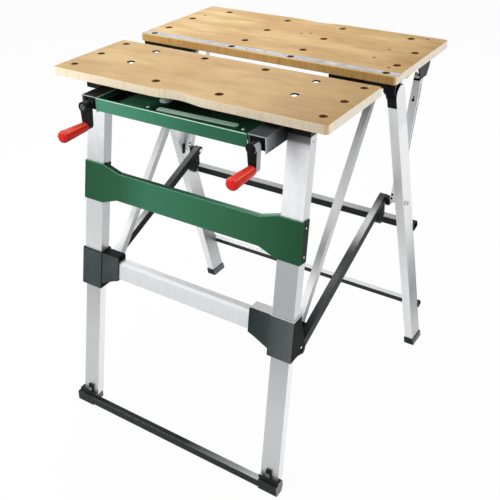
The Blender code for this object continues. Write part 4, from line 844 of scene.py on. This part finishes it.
def dress_handles():
    """Ring groove and end button of each handle, and the hub's disc on the crank."""
    ring = [(13.3, 0.0), (13.62, 0.2), (13.62, 1.0), (13.3, 1.2)]
    disc = [(7.5, 0.0), (7.5, 0.8), (6.6, 1.2), (0.6, 1.2)]
    grip_z, screw_z = 735.0, 779.5
    for name, side in SIDES:
        x = side * 209.0
        handle, crank = f"handle_{name}", f"crank_{name}"
        # Painted light: the left hub disc is grey, the right one as black as its crank.
        face = CRANK_DISC_LIGHT if side < 0 else CRANK_BLACK
        spun(f"handle_ring_{name}", ring, (x, -112.0, grip_z), (0, 1, 0), RED_DARK, handle, 28)
        dome(f"handle_button_{name}", 6.0, 0.9, (x, -118.5, grip_z), FORWARD, RED_DARK, handle)
        spun(f"crank_disc_{name}", disc, (x, -49.0, screw_z), FORWARD, face, crank, 20)


def dress_rivets():
    """Small rivets in the outer faces of legs, panel, brackets and, with a dark ring, the rear legs."""
    bar_y, bar_z = 413.9, 491.0
    rivets = (("leg", LEG_OUT, 56.4, 769.6, 2.2, "table", RIVET),
              ("panel_high", PANEL_END, 28.5, 597.0, 2.0, "table", BRIGHT),
              ("panel_low", PANEL_END, 20.0, 536.0, 2.0, "table", BRIGHT),
              ("bar", REAR_LEG_OUT, bar_y, bar_z, 3.2, "rear_frame", BRIGHT),
              ("bracket", 285.4, 12.0, 324.0, 2.6, "table", BRIGHT))
    ring = [(4.8, 0.0), (4.8, 0.5), (3.4, 0.5), (3.4, 0.1)]
    for name, side in SIDES:
        out = (side, 0, 0)
        for label, x, y, z, radius, body, paint in rivets:
            dome(f"rivet_{label}_{name}", radius, 0.9, (side * x, y, z), out, paint, body)
        spun(f"rivet_ring_{name}", ring, (side * REAR_LEG_OUT, bar_y, bar_z), out, SHADE, "rear_frame")


# The strut's lower pivot and its direction up to the bracket, both as (y, z)
STRUT_LOW = Vector((431.0, 482.0))
STRUT_ALONG = Vector((104.0, 280.0)).normalized()


def strut_point(x, along, out):
    """Bench point on the strut: along it from its lower pivot and out from its middle to the front."""
    y = STRUT_LOW.x + STRUT_ALONG.x * along - STRUT_ALONG.y * out
    z = STRUT_LOW.y + STRUT_ALONG.y * along + STRUT_ALONG.x * out
    return (x, y, z)


def strut_plate(label, name, side, corners, up, paint):
    """A thin plate on one strut, from corners as (x, along, out)."""
    outline = [strut_point(side * x, along, out) for x, along, out in corners]
    slab(f"{label}_{name}", outline, up, paint, f"strut_{name}")


def dress_struts():
    """Holes, keyhole, joint line, grey back and top band of each strut, and the black saddle at its foot."""
    face = 9.0
    out = (0, -STRUT_ALONG.y, STRUT_ALONG.x)
    for name, side in SIDES:
        body = f"strut_{name}"
        for index, along in enumerate((12.5, 3.5)):
            centre = strut_point(side * 298.0, along, face)
            hole(f"strut_hole_{index}_{name}", 2.9, 0.3, centre, out, body, 14)
        hole(f"keyhole_round_{name}", 3.4, 0.3, strut_point(side * 303.4, 241.0, face), out, body, 14)
        keyhole = ((302.0, 241, face), (304.8, 241, face), (305.4, 250, face), (303.0, 251, face))
        strut_plate("keyhole_slot", name, side, keyhole, Vector(out) * 0.32, SHADE)
        side_x = STRUT_OUT + 0.2
        inward = (-side * 0.5, 0, 0)
        line = ((side_x, 60, face - 0.2), (side_x, 272, face - 0.2), (side_x, 272, face - 2.2),
                (side_x, 60, face - 1.2))
        strut_plate("strut_line", name, side, line, inward, LINE)
        back = ((side_x, 60, -2.0), (side_x, 280, -2.0), (side_x, 280, -8.6), (side_x, 60, -8.6))
        strut_plate("strut_back", name, side, back, inward, STRUT_GREY)
        for index, along in enumerate((253.0, 222.0)):
            centre = strut_point(side * (STRUT_OUT + 0.1), along, -5.0)
            hole(f"strut_dot_{index}_{name}", 1.9, 0.35, centre, (side, 0, 0), body, 12)
        left, right, low, high, proud = STRUT_IN + 0.2, STRUT_OUT - 0.2, 287.6, 292.4, face + 0.2
        band = ((left, low, proud), (right, low, proud), (right, high, proud), (left, high, proud))
        strut_plate("strut_band", name, side, band, Vector(out) * 0.5, SHADE)
        dome(f"strut_screw_{name}", 3.6, 2.0, strut_point(side * 303.0, 298, face), out, BRIGHT, body)
        saddles = (("inner", 293.9, 284.4, 420, 16, (470, 470, 489, 486)),
                   ("outer", 312.4, 314.6, 416, 8, (466, 466, 492, 494)))
        for label, near, far, y, depth, heights in saddles:
            outline = [(side * x, y, z) for x, z in zip((near, far, far, near), heights)]
            slab(f"strut_saddle_{label}_{name}", outline, (0, depth, 0), BLACK_PLASTIC, "rear_frame")


def panel_face(x, z, back):
    """Bench point some millimetres behind the sloped panel's front, whose skin clears the legs by a gap."""
    gap = 0.4
    return (x, leg_front(z) - PANEL_SKIN - gap + back, z)


def dress_panel():
    """The pressed green panel: face, top flange, side wings and the tabs on the legs' inner sides."""
    top_line = [(-PANEL_END, PANEL_TOP), (-231.4, PANEL_TOP), (-184, PANEL_DIP), (184, PANEL_DIP),
                (228, PANEL_TOP), (PANEL_END, PANEL_TOP)]
    low_line = [(PANEL_END, PANEL_LOW), (230, PANEL_LOW), (188, PANEL_RISE), (-188, PANEL_RISE),
                (-230, PANEL_LOW), (-PANEL_END, PANEL_LOW)]
    outline = [panel_face(x, z, 0) for x, z in top_line + low_line]
    face = slab("panel_face", outline, (0, PANEL_SKIN, 0), GREEN_PANEL, "table")
    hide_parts("front_panel")
    flange_depth = 12.5
    for index, (start, end) in enumerate(zip(top_line[1:4], top_line[2:5])):
        edge = [panel_face(*start, PANEL_SKIN), panel_face(*end, PANEL_SKIN), panel_face(*end, flange_depth),
                panel_face(*start, flange_depth)]
        slab(f"panel_flange_{index}", edge, (0, 0, -1.4), GREEN_FLANGE, "table")
    # Painted highlights: thin light rods along the panel's top edge.
    edge_highlights = [(x, leg_front(z) - PANEL_SKIN, z - 0.5) for x, z in top_line]
    for index, (start, end) in enumerate(zip(edge_highlights[:-1], edge_highlights[1:])):
        bar(f"panel_edge_highlight_{index}", start, end, 0.7, PANEL_EDGE_HIGHLIGHT, "table")
    wing_depth = 27.0
    flanks = (("wing", PANEL_END, -2.2, PANEL_LOW, PANEL_LOW - 4),
              ("tab", 231.6, -1.4, PANEL_RISE, PANEL_RISE))
    for name, side in SIDES:
        for label, x, thick, low, back_low in flanks:
            profile = ((PANEL_TOP, PANEL_SKIN), (PANEL_TOP - 4, wing_depth), (back_low, wing_depth),
                       (low, PANEL_SKIN))
            flank = [panel_face(side * x, z, back) for z, back in profile]
            slab(f"panel_{label}_{name}", flank, (side * thick, 0, 0), GREEN_PANEL, "table")


def dress_inner_legs():
    """The slender tubes from the corner brackets up to the rear supports."""
    low, high = Vector((0, 48.0, 322.0)), Vector((0, 411.0, 780.0))
    along = (high - low).normalized()
    front = Vector((0, -along.z, along.y))
    tube_x, half_width, half_depth = 252.4, 7.6, 8.2
    for name, side in SIDES:
        corners = []
        for centre in (low, high):
            for across, out in ((-1, 1), (1, 1), (1, -1), (-1, -1)):
                corner = centre + front * half_depth * out
                corners.append(point(side * tube_x + across * half_width, corner.y, corner.z))
        faces = [(0, 1, 2, 3), (4, 5, 6, 7)] + [(i, (i + 1) % 4, (i + 1) % 4 + 4, i + 4) for i in range(4)]
        paint = FINISHES[f"inner_leg_{name}"]
        tube = add_piece(f"inner_tube_{name}", corners, faces, paint, "table")
        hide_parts(f"inner_leg_{name}")


def dress_links():
    """Bright pivot washer on the right-hand face of each link's upper end."""
    washer = [(5.6, 0.0), (5.6, 0.7), (4.8, 1.1), (0.6, 1.1)]
    for name, x in (("left", -265.5), ("right", 281.7)):
        spun(f"link_washer_{name}", washer, (x, 432.0, 479.0), (1, 0, 0), BRIGHT, f"link_{name}",
             18)


def dress_latches():
    """Ribs on the snap latches above the front feet, pale grey as painted highlights."""
    front, thick = -77.4, 1.2
    for name, side in SIDES:
        x0, x1 = sorted((side * 251.2, side * 261.0))
        for index, z in enumerate((32.0, 37.5)):
            rib = [(x0, front, z), (x1, front, z), (x1, front, z + thick), (x0, front, z + thick)]
            slab(f"latch_rib_{index}_{name}", rib, (0, 0.9, 0), RIM_HIGHLIGHT, "lower_frame")


dress_panel()
dress_inner_legs()
dress_jaw_bolts()
dress_ruler()
dress_tray()
dress_rails()
dress_handles()
dress_rivets()
dress_struts()
dress_links()
dress_latches()


# Stage, light and camera

def make_floor():
    """White floor that keeps a faint shadow; a darker band in front of the bench shows in the metal."""
    mesh = bpy.data.meshes.new("floor")
    reach = 30.0
    corners = [(-reach, -reach, 0), (reach, -reach, 0), (reach, reach, 0), (-reach, reach, 0)]
    mesh.from_pydata(corners, [], [(0, 1, 2, 3)])
    floor = bpy.data.objects.new("floor", mesh)
    bpy.context.scene.collection.objects.link(floor)
    paint = Paint("floor_paint", roughness=0.9, specular=0.05)
    paint.colour(rgb(250, 250, 250))
    light = paint.node("ShaderNodeLightPath")
    away = paint.math("MULTIPLY", paint.axis("Object", "Y"), -0.2)
    reflected = paint.ramp(away, [(0.1, 1.0), (0.3, 0.58), (0.5, 0.62), (0.95, 0.95)])
    glow = paint.node("ShaderNodeEmission")
    paint.link(reflected, glow.inputs["Color"])
    mirror = paint.node("ShaderNodeMixShader")
    paint.link(light.outputs["Is Glossy Ray"], mirror.inputs[0])
    paint.link(paint.shader.outputs[0], mirror.inputs[1])
    paint.link(glow.outputs[0], mirror.inputs[2])
    white = paint.node("ShaderNodeEmission")
    white.inputs["Color"].default_value = (1, 1, 1, 1)
    blend = paint.node("ShaderNodeMixShader")
    share = paint.math("MULTIPLY", light.outputs["Is Camera Ray"], 0.95)
    paint.link(share, blend.inputs[0])
    paint.link(mirror.outputs[0], blend.inputs[1])
    paint.link(white.outputs[0], blend.inputs[2])
    output = paint.tree.nodes["Material Output"]
    paint.link(blend.outputs[0], output.inputs["Surface"])
    mesh.materials.append(paint.material)


def make_world():
    """White to the eye and in the metal, softer as light on the bench."""
    seen_strength, light_strength = 1.0, 0.42
    world = bpy.data.worlds.new("studio")
    bpy.context.scene.world = world
    world.use_nodes = True
    tree = world.node_tree
    background = tree.nodes["Background"]
    background.inputs["Color"].default_value = (1.0, 1.0, 1.0, 1)
    light = tree.nodes.new("ShaderNodeLightPath")
    seen = tree.nodes.new("ShaderNodeMath")
    seen.operation = "MAXIMUM"
    tree.links.new(light.outputs["Is Camera Ray"], seen.inputs[0])
    tree.links.new(light.outputs["Is Glossy Ray"], seen.inputs[1])
    strength = tree.nodes.new("ShaderNodeMix")
    strength.data_type = "FLOAT"
    strength.inputs[2].default_value = light_strength
    strength.inputs[3].default_value = seen_strength
    tree.links.new(seen.outputs[0], strength.inputs[0])
    tree.links.new(strength.outputs[0], background.inputs["Strength"])


def area_light(name, place, aim, size, power):
    """A rectangular lamp that looks at a point, in metres and watts."""
    data = bpy.data.lights.new(name, "AREA")
    data.shape = "RECTANGLE"
    data.size, data.size_y = size
    data.energy = power
    lamp = bpy.data.objects.new(name, data)
    lamp.location = Vector(place)
    lamp.rotation_euler = (Vector(aim) - Vector(place)).to_track_quat("-Z", "Y").to_euler()
    bpy.context.scene.collection.objects.link(lamp)


def make_lights():
    """Key light from the front left, soft light from above and a weak one from the right."""
    centre = (0.0, 0.0, 0.5)
    area_light("key_front", (-1.8, -2.8, 2.2), centre, (1.8, 1.8), 66)
    area_light("top_back", (-1.1, 1.1, 2.4), (0, 0.1, 0.8), (1.6, 1.6), 24)
    area_light("top_soft", (0.0, 0.0, 3.4), (0, 0, 0.8), (2.4, 2.4), 16)
    area_light("side_right", (2.7, -0.3, 1.3), centre, (2.0, 2.0), 15)


# The camera's place in bench millimetres; its azimuth, elevation and roll in degrees
CAMERA_PLACE = (930.23, -1166.33, 1376.61)
CAMERA_ANGLES = (33.71, 23.01, -1.25)
CAMERA_LENS = 57.35
CAMERA_SHIFT = (0.0210, -0.2345)


def make_camera():
    """The photograph's own viewpoint, solved from the top's corners and the feet."""
    azimuth, elevation, roll = (math.radians(angle) for angle in CAMERA_ANGLES)
    back = Vector((math.sin(azimuth) * math.cos(elevation), -math.cos(azimuth) * math.cos(elevation),
                   math.sin(elevation)))
    level = Vector((0, 0, 1)).cross(back).normalized()
    upward = back.cross(level)
    right = level * math.cos(roll) + upward * math.sin(roll)
    up = -level * math.sin(roll) + upward * math.cos(roll)
    data = bpy.data.cameras.new("photo_camera")
    camera = bpy.data.objects.new("photo_camera", data)
    turn = Matrix((right, up, back)).transposed().to_4x4()
    camera.matrix_world = Matrix.Translation(point(*CAMERA_PLACE)) @ turn
    data.lens = CAMERA_LENS
    data.sensor_width = 36
    data.shift_x, data.shift_y = CAMERA_SHIFT
    data.clip_start = 0.01
    bpy.context.scene.collection.objects.link(camera)
    bpy.context.scene.camera = camera


make_floor()
make_world()
make_lights()
make_camera()
bpy.context.scene.view_settings.view_transform = "Standard"
